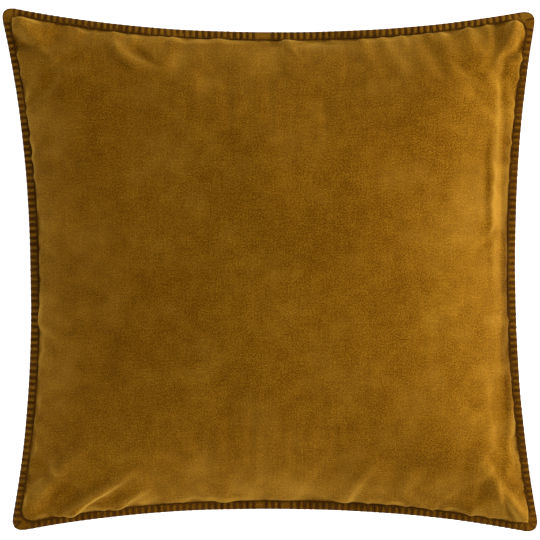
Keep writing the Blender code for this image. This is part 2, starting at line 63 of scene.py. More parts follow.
class OutlineCurve:
    # a closed line a set distance inside the pillow's edge, with its corners cut round
    def __init__(self, inset, cut, corners=None):
        self.inset, self.cut = inset, cut
        base = sharpCorners if corners is None else corners
        self.corners = base - cornerSigns * inset

    def across(self, side, along):
        axis, sign = sideAxis[side]
        start, end = self.corners[side], self.corners[(side + 1) % 4]
        share = np.clip((along - start[axis]) / (end[axis] - start[axis]), 0, 1)
        other = 1 - axis
        middle = sign * (halfSize[other] - cover["sidePull"][side] - self.inset)
        pull = middle - (start[other] + end[other]) / 2
        bow = 1 - np.abs(2 * share - 1) ** cover["sideCurve"]
        return start[other] + (end[other] - start[other]) * share + pull * bow

    def onSide(self, side, along):
        line = self.across(side, along)
        pair = (along, line) if sideAxis[side][0] == 0 else (line, along)
        return np.stack(np.broadcast_arrays(*pair), axis=-1)

    def span(self, side):
        axis = sideAxis[side][0]
        start, end = self.corners[side][axis], self.corners[(side + 1) % 4][axis]
        step = math.copysign(self.cut, end - start)
        return start + step, end - step

    def rounded(self, corner, share):
        share = np.asarray(share, float)[..., None]
        before = self.onSide((corner + 3) % 4, self.span((corner + 3) % 4)[1])
        after = self.onSide(corner, self.span(corner)[0])
        return before * (1 - share) ** 2 + self.corners[corner] * 2 * share * (1 - share) + after * share**2

    def sideLine(self, side, shares):
        # points from the middle of one corner to the middle of the next, by share of that length
        start, end = self.span(side)
        points = np.concatenate([
            self.rounded(side, np.linspace(0.5, 1, 40)),
            self.onSide(side, np.linspace(start, end, 400))[1:-1],
            self.rounded((side + 1) % 4, np.linspace(0, 0.5, 40)),
        ])
        steps = np.concatenate([[0], np.cumsum(np.linalg.norm(np.diff(points, axis=0), axis=1))])
        places = np.asarray(shares) * steps[-1]
        return np.stack([np.interp(places, steps, points[:, k]) for k in (0, 1)], axis=-1)

    def points(self, sides, shares):
        # points on the outline, each by its side and its share of that side
        plan = np.zeros((len(sides), 2))
        for side in range(4):
            plan[sides == side] = self.sideLine(side, shares[sides == side])
        return plan

    def inward(self, x, y):
        across = x / np.where(x > 0, self.across(1, y), self.across(3, y))
        along = y / np.where(y > 0, self.across(2, x), self.across(0, x))
        return np.maximum(0, 1 - across**2) * np.maximum(0, 1 - along**2)

    def swell(self, x, y):
        # 0 at the outline and 1 in the middle, as a filled case swells
        curves = np.concatenate([self.rounded(i, np.linspace(0, 1, 9)) for i in range(4)])
        least = self.inward(curves[:, 0], curves[:, 1]).max()
        return np.maximum(0, (self.inward(x, y) - least) / (1 - least)) ** cover["fullness"]


def findSharpCorners():
    # corners of the square whose rounded tips lie at the cover's tips
    tips = cornerSigns * (halfSize - np.array(cover["cornerSetback"]))
    corners = tips.copy()
    for _ in range(8):
        line = OutlineCurve(0.0, cover["cornerCut"], corners)
        for i, signs in enumerate(cornerSigns):
            curve = line.rounded(i, np.linspace(0, 1, 41))
            corners[i] += tips[i] - (curve * signs).max(axis=0) * signs
    return corners


def lineLength(points, closed=False):
    ring = np.concatenate([points, points[:1]]) if closed else points
    return float(np.linalg.norm(np.diff(ring, axis=0), axis=1).sum())


sharpCorners = findSharpCorners()
seamLine = OutlineCurve(cover["flangeWidth"], cover["seamCornerCut"])
edgeLine = OutlineCurve(cover["thread"], cover["cornerCut"])
outerLine = OutlineCurve(0.0, cover["cornerCut"])
sideLengths = np.array([lineLength(outerLine.sideLine(i, np.linspace(0, 1, 500))) for i in range(4)])
sideStarts = np.cumsum(sideLengths) - sideLengths
roundLength = float(sideLengths.sum())

zipFacts = {
    "length": 0.3200,
    "fromSeam": 0.0340,
    "drop": 0.0260,
    "tilt": math.radians(22),
    "windowHalfWidth": 0.0042,
    "windowHalfLength": 0.1645,
    "stripHalfLength": 0.1745,
    "stripHalfWidth": 0.0150,
}
frontBase = cover["flangeHeight"] + cover["gap"] / 2
backBase = cover["flangeHeight"] - cover["gap"] / 2
restDrop = backBase - cover["velvet"]
zipY = float(seamLine.across(0, 0.0)) + zipFacts["fromSeam"]
stripHalf = zipFacts["stripHalfWidth"] * math.cos(zipFacts["tilt"])
sideEase = zipFacts["fromSeam"] - stripHalf
endEase = min(seamLine.across(1, zipY), -seamLine.across(3, zipY)) - zipFacts["stripHalfLength"]


def eased(distance, reach):
    share = np.clip(1 - distance / reach, 0, 1)
    return share * share * (3 - 2 * share)


def zipShare(x, y):
    # 1 on the flat strip that the zip is sewn into, and 0 well away from it
    pastEnd = np.maximum(0, np.abs(x) - zipFacts["stripHalfLength"])
    pastSide = np.maximum(0, np.abs(y - zipY) - stripHalf)
    return eased(pastEnd, endEase) * eased(pastSide, sideEase)


def frontHeight(x, y):
    return frontBase + cover["velvet"] + cover["frontRise"] * seamLine.swell(x, y)


def backHeight(x, y):
    free = np.minimum(cover["backDrop"] * seamLine.swell(x, y), restDrop)
    strip = zipFacts["drop"] + math.tan(zipFacts["tilt"]) * (y - zipY)
    return restDrop - free - (strip - free) * zipShare(x, y)


def coonsPatch(outline, shareX, shareY):
    # plan points that fill an outline, for any shares across and up it
    shareX, shareY = np.broadcast_arrays(shareX, shareY)
    flat, up = shareX.ravel(), shareY.ravel()
    bottom, right = outline.sideLine(0, flat), outline.sideLine(1, up)
    top, left = outline.sideLine(2, 1 - flat), outline.sideLine(3, 1 - up)
    corner = [outline.sideLine(i, [0.0])[0] for i in range(4)]
    u, v = flat[:, None], up[:, None]
    sides = bottom * (1 - v) + top * v + left * (1 - u) + right * u
    return (sides - betweenCorners(corner, u, v)).reshape(*shareX.shape, 2)


def betweenCorners(corner, u, v):
    return (corner[0] * (1 - u) + corner[1] * u) * (1 - v) + (corner[3] * (1 - u) + corner[2] * u) * v


def softNoise(x, y, size, seed):
    # smooth noise from -1 to 1 over a plane, its lumps about size apart
    table = np.random.default_rng(seed).uniform(-1, 1, (64, 64))
    gx, gy = x / size + 31.3, y / size + 17.7
    ix, iy = np.floor(gx).astype(int), np.floor(gy).astype(int)
    fx, fy = gx - ix, gy - iy
    fx, fy = fx * fx * (3 - 2 * fx), fy * fy * (3 - 2 * fy)
    corner = lambda dx, dy: table[(ix + dx) % 64, (iy + dy) % 64]
    low = corner(0, 0) * (1 - fx) + corner(1, 0) * fx
    high = corner(0, 1) * (1 - fx) + corner(1, 1) * fx
    return low * (1 - fy) + high * fy


def newObject(name, data):
    made = bpy.data.objects.new(name, data)
    bpy.context.scene.collection.objects.link(made)
    return made


def newMesh(name, points, faces, attributes=None, edges=()):
    # a mesh object; an attribute gives a value for each point
    mesh = bpy.data.meshes.new(name)
    mesh.from_pydata(np.asarray(points, float).tolist(), list(edges), [list(face) for face in faces])
    for key, values in (attributes or {}).items():
        mesh.attributes.new(key, "FLOAT", "POINT").data.foreach_set("value", np.asarray(values, np.float32))
    return newObject(name, mesh)


def gridFaces(columns, rows):
    index = np.arange(columns * rows).reshape(rows, columns)
    return np.stack([index[:-1, :-1], index[:-1, 1:], index[1:, 1:], index[1:, :-1]], axis=-1).reshape(-1, 4)


# cloth simulation
cloth = {
    "cells": 84,  # along each side of a panel's pattern
    "fullerCut": 1.032,  # how much larger the panels are cut than the rim they're gathered into
    "drawnInBy": 10,  # the frame by which the rim has reached its place
    "frames": 20,
    "quality": 6,
    "pressure": 150.0,
    "mass": 0.02,
    "tension": 40.0,
    "shear": 8.0,
    "bending": 6.0,
    "damping": 10.0,
    "airDamping": 2.0,
    "unevenness": 0.0006,  # of the cloth at the start, so that wrinkles have somewhere to begin
    "mostMove": 0.012,
    "wrinkleGain": 0.85,
    "finest": 0.55,  # in cells: anything finer is smoothed away
    "smoothOver": 0.045,  # what is wider than this comes from the cover's own shape
}


def blurGrid(field, sigma):
    # smooths a grid that is zero along its border, keeping the border at zero
    reach = int(3 * sigma)
    kernel = np.exp(-0.5 * (np.arange(-reach, reach + 1) / sigma) ** 2)
    kernel /= kernel.sum()
    for axis in (0, 1):
        field = np.moveaxis(field, axis, 0)
        before, after = -field[reach:0:-1], -field[-2 : -reach - 2 : -1]
        padded = np.concatenate([before, field, after])
        field = sum(weight * padded[i : i + len(field)] for i, weight in enumerate(kernel))
        field = np.moveaxis(field, 0, axis)
    return field


def runCloth(begin, faces, heldPoints):
    # draws the held rim in from the fuller cut, blows the case up, and returns its points
    middle = np.array([0, 0, cover["flangeHeight"]])
    envelope = newMesh("envelope", middle + (begin - middle) * cloth["fullerCut"], faces)
    envelope.shape_key_add(name="Basis")
    sewn = envelope.shape_key_add(name="sewn")
    sewn.data.foreach_set("co", begin.astype(np.float32).ravel())
    for frameNumber, value in ((1, 0.0), (cloth["drawnInBy"], 1.0)):
        sewn.value = value
        sewn.keyframe_insert("value", frame=frameNumber)
    envelope.vertex_groups.new(name="held").add(heldPoints.tolist(), 1.0, "REPLACE")
    modifier = envelope.modifiers.new("cloth", "CLOTH")
    modifier.collision_settings.use_collision = False
    settings = modifier.settings
    settings.quality = cloth["quality"]
    settings.mass = cloth["mass"]
    settings.tension_stiffness = settings.compression_stiffness = cloth["tension"]
    settings.shear_stiffness = cloth["shear"]
    settings.bending_stiffness = cloth["bending"]
    settings.air_damping = cloth["airDamping"]
    settings.tension_damping = settings.compression_damping = cloth["damping"]
    settings.use_pressure = True
    settings.uniform_pressure_force = cloth["pressure"]
    settings.vertex_group_mass = "held"
    settings.effector_weights.gravity = 0
    scene = bpy.context.scene
    scene.frame_start, scene.frame_end = 1, cloth["frames"]
    for number in range(1, cloth["frames"] + 1):
        scene.frame_set(number)
    ended = envelope.evaluated_get(bpy.context.evaluated_depsgraph_get()).to_mesh()
    points = np.empty(len(begin) * 3, np.float32)
    ended.vertices.foreach_get("co", points)
    scene.frame_set(1)
    bpy.data.objects.remove(envelope)
    return points.reshape(-1, 3).astype(float)


def inflatePanels():
    # how each point of the front and the back moves when the filled cover wrinkles
    cells = cloth["cells"]
    shares = np.linspace(0, 1, cells + 1)
    plan = coonsPatch(seamLine, shares[None, :], shares[:, None])
    x, y = plan[..., 0], plan[..., 1]
    inner = cover["velvet"] + cover["gap"] / 2
    front = np.dstack([x, y, frontHeight(x, y) - inner])
    back = np.dstack([x, y, backHeight(x, y) + inner])

    count = (cells + 1) ** 2
    rim = np.zeros((cells + 1, cells + 1), bool)
    rim[[0, -1], :] = rim[:, [0, -1]] = True
    backIndex = np.arange(count).reshape(cells + 1, cells + 1)
    backIndex[~rim] = count + np.arange((~rim).sum())
    start = np.concatenate([front.reshape(-1, 3), back[~rim]])
    faces = gridFaces(cells + 1, cells + 1)
    faces = np.concatenate([faces, backIndex.ravel()[faces][:, ::-1]])
    uneven = softNoise(start[:, 0], start[:, 1], 0.021, 5) + softNoise(start[:, 1], start[:, 0], 0.012, 6)
    begin = start.copy()
    begin[:, 2] += cloth["unevenness"] * uneven * np.sign(start[:, 2] - cover["flangeHeight"])
    onZip = zipShare(start[:, 0], start[:, 1]) * (start[:, 2] < cover["flangeHeight"] - 0.001)
    fixed = np.concatenate([rim.ravel(), np.zeros((~rim).sum(), bool)])
    moved = runCloth(begin, faces, np.flatnonzero(fixed | (onZip > 0.7))) - start

    found = {"front": moved[:count], "back": moved[backIndex.ravel()]}
    sigma = cloth["smoothOver"] / (2 * halfSize[0]) * cells
    for name, move in found.items():
        move = move.reshape(cells + 1, cells + 1, 3)
        move = (blurGrid(move, cloth["finest"]) - blurGrid(move, sigma)) * cloth["wrinkleGain"]
        length = np.linalg.norm(move, axis=-1, keepdims=True)
        found[name] = move * np.minimum(1, cloth["mostMove"] / np.maximum(length, 1e-9))
    return found


moves = inflatePanels()
print("panels inflated")


def sampleGrid(field, u, v):
    # smooth values of a grid field between its points
    cells = field.shape[0] - 1

    def weights(share):
        place = np.clip(share * cells, 0, cells - 1e-9)
        first = np.floor(place).astype(int)
        t = place - first
        parts = (
            -0.5 * t + t**2 - 0.5 * t**3,
            1 - 2.5 * t**2 + 1.5 * t**3,
            0.5 * t + 2 * t**2 - 1.5 * t**3,
            -0.5 * t**2 + 0.5 * t**3,
        )
        return [(np.clip(first + k - 1, 0, cells), part) for k, part in enumerate(parts)]

    total = 0
    for column, wide in weights(u):
        for row, tall in weights(v):
            total = total + field[row, column] * (wide * tall)[..., None]
    return total


# materials
looks = {
    "velvetDeep": (0.108, 0.0385, 0.0006, 1),
    "velvetMid": (0.182, 0.0700, 0.0012, 1),
    "velvetPale": (0.320, 0.1540, 0.0090, 1),
    # paler colour of the crests: painted highlight and rim sheen, partly wear of the pile
    "velvetWornAndLit": (0.520, 0.275, 0.0330, 1),
    "velvetShade": (0.36, 0.26, 0.11, 1),  # painted shade: what the dye is multiplied by in the grooves; also darkens crushed pile
    "velvetTone": -0.765,  # brings the mean of the noises below to the middle of the dye's range
    "velvetSheen": (0.50, 0.40, (1.0, 0.70, 0.12, 1)),  # weight, roughness, tint
    "weavePitch": 0.0011,
    "threadDark": (0.052, 0.0185, 0.0011, 1),
    "threadLight": (0.135, 0.053, 0.0060, 1),
}


def setInputs(node, values):
    for name, value in values.items():
        socket = node.inputs[int(name[1:]) if name[0] == "i" and name[1:].isdigit() else name]
        if isinstance(value, bpy.types.NodeSocket):
            node.id_data.links.new(value, socket)
        else:
            socket.default_value = value


def addNode(tree, kind, settings=None, **values):
    # a node, its inputs set or linked by name or, as i0, i1 and on, by place; nodes lie in rows of ten
    made = tree.nodes.new(kind)
    made.location = 220 * (len(tree.nodes) % 10), -320 * (len(tree.nodes) // 10)
    for name, value in (settings or {}).items():
        setattr(made, name, value)
    setInputs(made, values)
    return made


def output(tree, kind, settings=None, which=0, **values):
    return addNode(tree, kind, settings, **values).outputs[which]


def calc(tree, operation, *values):
    numbered = {f"i{k}": value for k, value in enumerate(values)}
    return output(tree, "ShaderNodeMath", {"operation": operation}, **numbered)


def noise(tree, place, scale, detail, **more):
    return output(tree, "ShaderNodeTexNoise", Vector=place, Scale=scale, Detail=detail, **more)


def stretched(tree, place, scale):
    return output(tree, "ShaderNodeMapping", Vector=place, Scale=scale)


def addRamp(tree, factor, *stops):
    made = addNode(tree, "ShaderNodeValToRGB", Fac=factor)
    ramp = made.color_ramp
    while len(ramp.elements) < len(stops):
        ramp.elements.new(0.5)
    for element, (position, color) in zip(ramp.elements, stops):
        element.position, element.color = position, color
    return made.outputs["Color"]


def addBump(tree, strength, distance, height, **more):
    return output(tree, "ShaderNodeBump", Strength=strength, Distance=distance, Height=height, **more)


def newTree(name, kind, inputs, outputs):
    # a node group with named inputs and outputs, and the sockets that its inputs come from
    tree = bpy.data.node_groups.new(name, kind)
    for direction, sockets in (("INPUT", inputs), ("OUTPUT", outputs)):
        for socket, socketKind in sockets.items():
            tree.interface.new_socket(socket, in_out=direction, socket_type="NodeSocket" + socketKind)
    return tree, addNode(tree, "NodeGroupInput").outputs


def newMaterial(name):
    made = bpy.data.materials.new(name)
    made.use_nodes = True
    made.node_tree.nodes.clear()
    return made, made.node_tree


def closeMaterial(made, inputs):
    # adds the shader, with these inputs, and the output
    shader = addNode(made.node_tree, "ShaderNodeBsdfPrincipled")
    setInputs(shader, inputs)
    addNode(made.node_tree, "ShaderNodeOutputMaterial", Surface=shader.outputs["BSDF"])
    return made


def makeWeaveGroup():
    # a plain weave with slubs: its height, and a mask of thicker yarns
    group, start = newTree("clothWeave", "ShaderNodeTree", {"Vector": "Vector", "Pitch": "Float"},
                           {"Height": "Float", "Slubs": "Float"})
    vector = start["Vector"]
    wave = calc(group, "MULTIPLY", calc(group, "DIVIDE", 1.0, start["Pitch"]), 0.3183)
    bands = [
        output(group, "ShaderNodeTexWave", {"bands_direction": axis}, "Fac",
               Vector=vector, Scale=wave, Distortion=1.6, Detail=2.0, i4=0.35)
        for axis in ("X", "Y")
    ]
    slubs = [noise(group, stretched(group, vector, drawn), 520.0, 2.0) for drawn in ((1, 0.1, 1), (0.1, 1, 1))]
    addNode(group, "NodeGroupOutput", Height=calc(group, "MAXIMUM", *bands),
            Slubs=calc(group, "MULTIPLY", calc(group, "ADD", *slubs), 0.5))
    return group


weaveGroup = makeWeaveGroup()


def addWeave(tree, place, pitch):
    return addNode(tree, "ShaderNodeGroup", {"node_tree": weaveGroup}, Vector=place, Pitch=pitch).outputs


def objectPlace(tree):
    return output(tree, "ShaderNodeTexCoord", which="Object")


def makeVelvet():
    made, tree = newMaterial("stonewashedVelvet")
    place = output(tree, "ShaderNodeUVMap", {"uv_map": "pattern"})
    weave = addWeave(tree, place, looks["weavePitch"])
    broad = noise(tree, place, 9.0, 3.0, Roughness=0.55)
    cloudy = noise(tree, place, 62.0, 5.0, Roughness=0.68)
    speck = noise(tree, place, 760.0, 3.0, Roughness=0.7)
    tone = looks["velvetTone"]
    for mask, share in ((broad, 0.22), (cloudy, 0.40), (weave["Slubs"], 0.34), (speck, 1.55)):
        tone = calc(tree, "MULTIPLY_ADD", mask, share, tone)
    dyes = [looks[name] for name in ("velvetDeep", "velvetMid", "velvetPale")]
    dyed = addRamp(tree, tone, *zip((0.30, 0.50, 0.78), dyes))
    # painted shade in the grooves, along the seam and on the flat edge, with darker patches of crushed pile
    seamShade = output(tree, "ShaderNodeAttribute", {"attribute_name": "seamShade"}, "Fac")
    paintedSheenAndWear = output(tree, "ShaderNodeAttribute", {"attribute_name": "paintedSheenAndWear"}, "Fac")
    shade = addRamp(tree, seamShade, (0.0, (1, 1, 1, 1)), (1.0, looks["velvetShade"]))
    shaded = output(tree, "ShaderNodeMix", {"data_type": "RGBA", "blend_type": "MULTIPLY"}, 2,
                    i0=1.0, i6=dyed, i7=shade)
    # crests mixed paler: painted highlight and rim sheen, partly wear of the pile
    paintedLightAndWear = output(tree, "ShaderNodeMix", {"data_type": "RGBA"}, 2,
                   i0=paintedSheenAndWear, i6=shaded, i7=looks["velvetWornAndLit"])
    pile = addBump(tree, 0.35, 0.0006, cloudy)
    yarn = addBump(tree, 0.18, 0.0004, weave["Height"], Normal=pile)
    fuzz = addBump(tree, 0.35, 0.0005, speck, Normal=yarn)
    weight, roughness, tint = looks["velvetSheen"]
    return closeMaterial(made, {
        "Base Color": paintedLightAndWear, "Normal": fuzz, "Roughness": 0.92, "Specular IOR Level": 0.03,
        "Sheen Weight": weight, "Sheen Roughness": roughness, "Sheen Tint": tint,
    })


def makeThread(name, dark, light):
    made, tree = newMaterial(name)
    place = objectPlace(tree)
    fibres = noise(tree, place, 900.0, 2.0)
    mixed = calc(tree, "MULTIPLY_ADD", noise(tree, place, 60.0, 2.0), 0.5, fibres)
    return closeMaterial(made, {
        "Base Color": addRamp(tree, mixed, (0.55, dark), (1.0, light)),
        "Normal": addBump(tree, 0.4, 0.0002, fibres), "Roughness": 0.9, "Specular IOR Level": 0.04,
    })


def makeCloth(name, pale, deep, pitch, scale, roughness, sheen):
    made, tree = newMaterial(name)
    place = objectPlace(tree)
    height = addWeave(tree, place, pitch)["Height"]
    mixed = calc(tree, "MULTIPLY_ADD", height, 0.35, noise(tree, place, scale, 4.0))
    return closeMaterial(made, {
        "Base Color": addRamp(tree, mixed, (0.35, deep), (0.95, pale)),
        "Normal": addBump(tree, 0.4, 0.0002, height), "Roughness": roughness, "Specular IOR Level": 0.15,
        "Sheen Weight": sheen,
    })


def makeFibre():
    made, tree = newMaterial("hollowFibre")
    place = objectPlace(tree)
    strands = noise(tree, stretched(tree, place, (1.0, 0.25, 1.0)), 700.0, 4.0, Distortion=1.5)
    tufts = addBump(tree, 0.6, 0.002, output(tree, "ShaderNodeTexVoronoi", Vector=place, Scale=70.0))
    return closeMaterial(made, {
        "Base Color": addRamp(tree, strands, (0.3, (0.62, 0.61, 0.58, 1)), (0.8, (0.88, 0.87, 0.84, 1))),
        "Normal": addBump(tree, 0.6, 0.0004, strands, Normal=tufts), "Roughness": 1.0, "Sheen Weight": 0.6,
    })


def makeBrass():
    made, tree = newMaterial("antiqueBrass")
    place = objectPlace(tree)
    stains = noise(tree, place, 420.0, 5.0)
    brushed = noise(tree, stretched(tree, place, (1.0, 14.0, 14.0)), 500.0, 2.0)
    rough = output(tree, "ShaderNodeMapRange", **{"Value": stains, "To Min": 0.50, "To Max": 0.28})
    return closeMaterial(made, {
        "Base Color": addRamp(tree, stains, (0.35, (0.20, 0.125, 0.045, 1)), (0.65, (0.52, 0.36, 0.14, 1))),
        "Normal": addBump(tree, 0.12, 0.0001, brushed), "Roughness": rough, "Metallic": 1.0,
    })


def makeNylon():
    made, tree = newMaterial("zipNylon")
    cloudy = noise(tree, objectPlace(tree), 180.0, 3.0)
    return closeMaterial(made, {
        "Base Color": addRamp(tree, cloudy, (0.3, (0.105, 0.044, 0.0035, 1)), (0.75, (0.17, 0.075, 0.008, 1))),
        "Normal": addBump(tree, 0.1, 0.0001, cloudy), "Roughness": 0.38, "Coat Weight": 0.2,
    })


velvetMaterial = makeVelvet()
threadMaterial = makeThread("overlockThread", looks["threadDark"], looks["threadLight"])
tapeMaterial = makeCloth("zipTape", (0.23, 0.105, 0.006, 1), (0.14, 0.058, 0.003, 1), 0.0006, 90.0, 0.8, 0.2)
casingMaterial = makeCloth("cottonCasing", (0.84, 0.82, 0.78, 1), (0.66, 0.63, 0.58, 1), 0.0005, 40.0, 0.9, 0.1)
labelMaterial = makeCloth("satinLabel", (0.86, 0.85, 0.82, 1), (0.70, 0.68, 0.64, 1), 0.0003, 120.0, 0.45, 0.2)
sewingMaterial = makeThread("sewingThread", (0.55, 0.52, 0.47, 1), (0.82, 0.80, 0.75, 1))
fibreMaterial, brassMaterial, nylonMaterial = makeFibre(), makeBrass(), makeNylon()
print("materials made")

# the insert, the labels and the cover's panels
insert = {
    "cornerCut": 0.0400,
    "seamInset": 0.0170,
    "edgeInset": 0.0120,
    "stitchInset": 0.0145,
    "fillInset": 0.0210,
    "room": 0.0065,  # from the cover's outside to the casing
    "zipRoom": 0.0035,
    "casing": 0.0006,
    "fillRoom": 0.0030,
    "leastFill": 0.0005,
    "cells": 120,
    "fillCells": 90,
    "lumps": 0.0012,
    "puckers": 0.0010,
    "tufts": 0.0010,
    "stitch": 0.0030,
    "stitchHeight": 0.00055,
}
casingSeam = OutlineCurve(insert["seamInset"], insert["cornerCut"])
casingEdge = OutlineCurve(insert["edgeInset"], insert["cornerCut"])
fillLine = OutlineCurve(insert["fillInset"], insert["cornerCut"])
labels = {
    "careSize": (0.035, 0.045),
    "careMiddle": (-0.08225, zipY + 0.0375),
    "insertSize": (0.040, 0.036),
    "insertMiddle": (0.040, float(casingSeam.across(2, 0.0)) - 0.022),
    "thickness": 0.0003,
    "curl": 0.0004,
    "margin": 0.002,
    "ease": 0.015,
    "overCover": 0.00155,
    "overCasing": 0.00215,
    "underCover": 0.004,
}
panels = {
    "cells": 240,
    "openingRows": (24, 216),  # below and above the zip's opening
    "span": 0.478,  # about the length of one side of the seam
    "gatherSpan": 0.480,
    "lumps": 0.0016,  # how uneven the fibre makes the faces
    "foldGain": 1.5,
    "seamPuckers": 0.0022,  # height of the small gathers along the seam
    "seamWander": 0.0026,  # how far the swollen face leans out over the seam in places
    "seamReach": 0.010,  # how far from the seam both die out
    "mostInward": 0.0035,  # how far a wrinkle may sink towards the insert
    "labelRoom": 0.0027,  # less of that where a label lies under the panel
    "restRoom": 0.0008,  # how gently the panel meets the ground
    "crushedPile": 0.20,  # how much flattened patches of pile differ
    "paintedRimSheen": 0.30,  # painted rim sheen: how much paler the pile is painted where the cover turns down
    "flangeRings": 7,
    "grooveDepth": 0.0007,
    "puff": 0.0007,  # how far the velvet of the edge stands up between its stitches
    "stitchPitch": 0.0059,
    "edgePaintedShade": (1.1, 1.1, 0.55, 0.85),  # how deep the painted shade of the edge is: bottom, right, top, left
    "edgePaintedHighlight": (0.06, 0.07, 0.22, 0.16),  # how strong the painted highlight on its ridges is, in the same order
    "edgeWave": 0.0012,
    "fill": 0.85,
}
stitchCount = round(roundLength / panels["stitchPitch"])

# each fold's start and end in plan, its half width, and its height, below 0 for a hollow
folds = (
    ((-0.181, -0.224), (-0.126, -0.178), 0.0075, 0.0072),
    ((-0.160, -0.226), (-0.112, -0.196), 0.0065, 0.0050),
    ((-0.206, -0.206), (-0.158, -0.150), 0.0100, 0.0046),
    ((-0.228, -0.196), (-0.186, -0.190), 0.0050, -0.0034),
    ((0.234, -0.232), (0.192, -0.166), 0.0085, 0.0068),
    ((0.226, -0.232), (0.214, -0.196), 0.0050, -0.0060),
    ((0.229, 0.230), (0.196, 0.178), 0.0090, 0.0048),
    ((0.232, 0.204), (0.200, 0.194), 0.0055, -0.0040),
    ((0.214, 0.226), (0.204, 0.200), 0.0045, -0.0030),
    ((-0.236, 0.228), (-0.190, 0.176), 0.0095, 0.0052),
    ((-0.238, 0.208), (-0.204, 0.202), 0.0050, -0.0040),
    ((-0.140, 0.205), (-0.120, 0.182), 0.0070, 0.0034),
    ((-0.118, 0.204), (-0.104, 0.184), 0.0060, -0.0028),
    ((0.006, 0.209), (0.014, 0.182), 0.0060, -0.0034),
    ((0.018, 0.209), (0.040, 0.186), 0.0060, 0.0030),
    ((0.2185, 0.160), (0.2100, 0.010), 0.0048, -0.0034),
    ((0.2060, 0.090), (0.2030, -0.040), 0.0055, 0.0022),
    ((0.213, -0.085), (0.208, -0.170), 0.0075, -0.0040),
    ((0.224, -0.110), (0.214, -0.180), 0.0050, 0.0030),
    ((0.030, -0.208), (0.058, -0.168), 0.0090, -0.0032),
    ((0.070, -0.212), (0.100, -0.176), 0.0090, 0.0030),
    ((0.216, 0.036), (0.186, 0.020), 0.0040, -0.0036),
    ((0.216, -0.046), (0.184, -0.054), 0.0040, -0.0032),
    ((-0.216, 0.020), (-0.196, 0.006), 0.0045, -0.0022),
    ((-0.214, -0.060), (-0.194, -0.078), 0.0050, -0.0024),
)


def labelShare(x, y, front):
    # 1 over the label that lies under this side of the cover, and 0 well away from it
    name = "insert" if front else "care"
    middle, size = labels[name + "Middle"], labels[name + "Size"]
    share = 1
    for place, centre, width in zip((x, y), middle, size):
        past = np.maximum(0, np.abs(place - centre) - width / 2 - labels["margin"])
        share = share * eased(past, labels["ease"])
    return share


def foldHeights(x, y, crests=False):
    # the folds' heights, or a painted highlight along their ridges
    total = np.zeros_like(x)
    for (ax, ay), (bx, by), width, height in folds:
        length = math.hypot(bx - ax, by - ay)
        ux, uy = (bx - ax) / length, (by - ay) / length
        along = ((x - ax) * ux + (y - ay) * uy) / length
        off = (y - ay) * ux - (x - ax) * uy + 0.004 * np.sin(along * 2.3 + ax * 40)
        fade = np.clip(1.15 - along, 0, 1) * np.clip((along + 0.35) / 0.35, 0, 1)
        off = np.where(off * height > 0, off, 1.7 * off)  # a fold is steeper on one side
        if not crests:
            total += panels["foldGain"] * height * np.exp(-((off / width) ** 2)) * fade
        elif height > 0:
            total += height / 0.007 * np.exp(-((off / (0.45 * width)) ** 2)) * fade
    return total


def seamDistance(u, v):
    return panels["span"] * np.minimum(np.minimum(u, 1 - u), np.minimum(v, 1 - v))


def alongSeam(u, v):
    return np.where(np.minimum(u, 1 - u) < np.minimum(v, 1 - v), v, u) * panels["gatherSpan"]


def rising(share):
    return 1 - (1 - np.minimum(1, 56 * share * (1 - share))) ** 2


def gridNormals(points):
    normal = np.cross(np.gradient(points, axis=1), np.gradient(points, axis=0))
    return normal / np.maximum(np.linalg.norm(normal, axis=-1, keepdims=True), 1e-12)


def softFloor(z):
    # rests on the ground: nothing goes below it, and what nears it flattens
    return panels["restRoom"] * np.logaddexp(0, z / panels["restRoom"])


def panelPoints(u, v, front):
    # the CAD's face with its lumps, gathers, folds and the simulated wrinkles on it
    plan = coonsPatch(seamLine, u, v)
    x, y = plan[..., 0], plan[..., 1]
    base = np.dstack([x, y, frontHeight(x, y) if front else backHeight(x, y)])
    move = sampleGrid(moves["front" if front else "back"], u, v)
    side = 1 if front else -1
    distance, along = seamDistance(u, v), alongSeam(u, v)
    flat = 0 * along
    lumps = softNoise(x + 0.2 * (1 - side), y, 0.085, 11) + 0.6 * softNoise(y, x + 0.1 * side, 0.041, 12)
    height = panels["lumps"] * lumps * rising(u) * rising(v)
    near = np.exp(-np.minimum(distance, 0.1) / panels["seamReach"])
    gather = softNoise(along, 3 + side + flat, 0.0105, 21) + 0.7 * softNoise(along, 9 + flat, 0.0061, 22)
    height = height + panels["seamPuckers"] * gather * near * np.minimum(1, distance / 0.002)
    leaning = 0.35 + softNoise(along, 5 + side + flat, 0.019, 23) + 0.5 * softNoise(along, 2 + flat, 0.008, 24)
    pulls = [np.exp(-share * panels["span"] / panels["seamReach"]) for share in (1 - u, u, 1 - v, v)]
    lean = np.dstack([pulls[0] - pulls[1], pulls[2] - pulls[3]]) * panels["seamWander"]
    lean = lean * (leaning * np.minimum(1, distance / 0.003))[..., None]
    if front:
        height = height + foldHeights(x, y) * np.minimum(1, distance / 0.004)
    else:
        keep = 1 - zipShare(x, y)
        move, lean, height = move * keep[..., None], lean * keep[..., None], height * keep
    normal = gridNormals(base) * side
    total = move + normal * height[..., None]
    total[..., :2] += lean
    outward = (total * normal).sum(axis=-1)
    most = panels["mostInward"] - panels["labelRoom"] * labelShare(x, y, front)
    held = np.where(outward < 0, most * np.tanh(outward / most), outward)
    base = base + total + normal * (held - outward)[..., None]
    if not front:
        base[..., 2] = softFloor(base[..., 2])
    return base


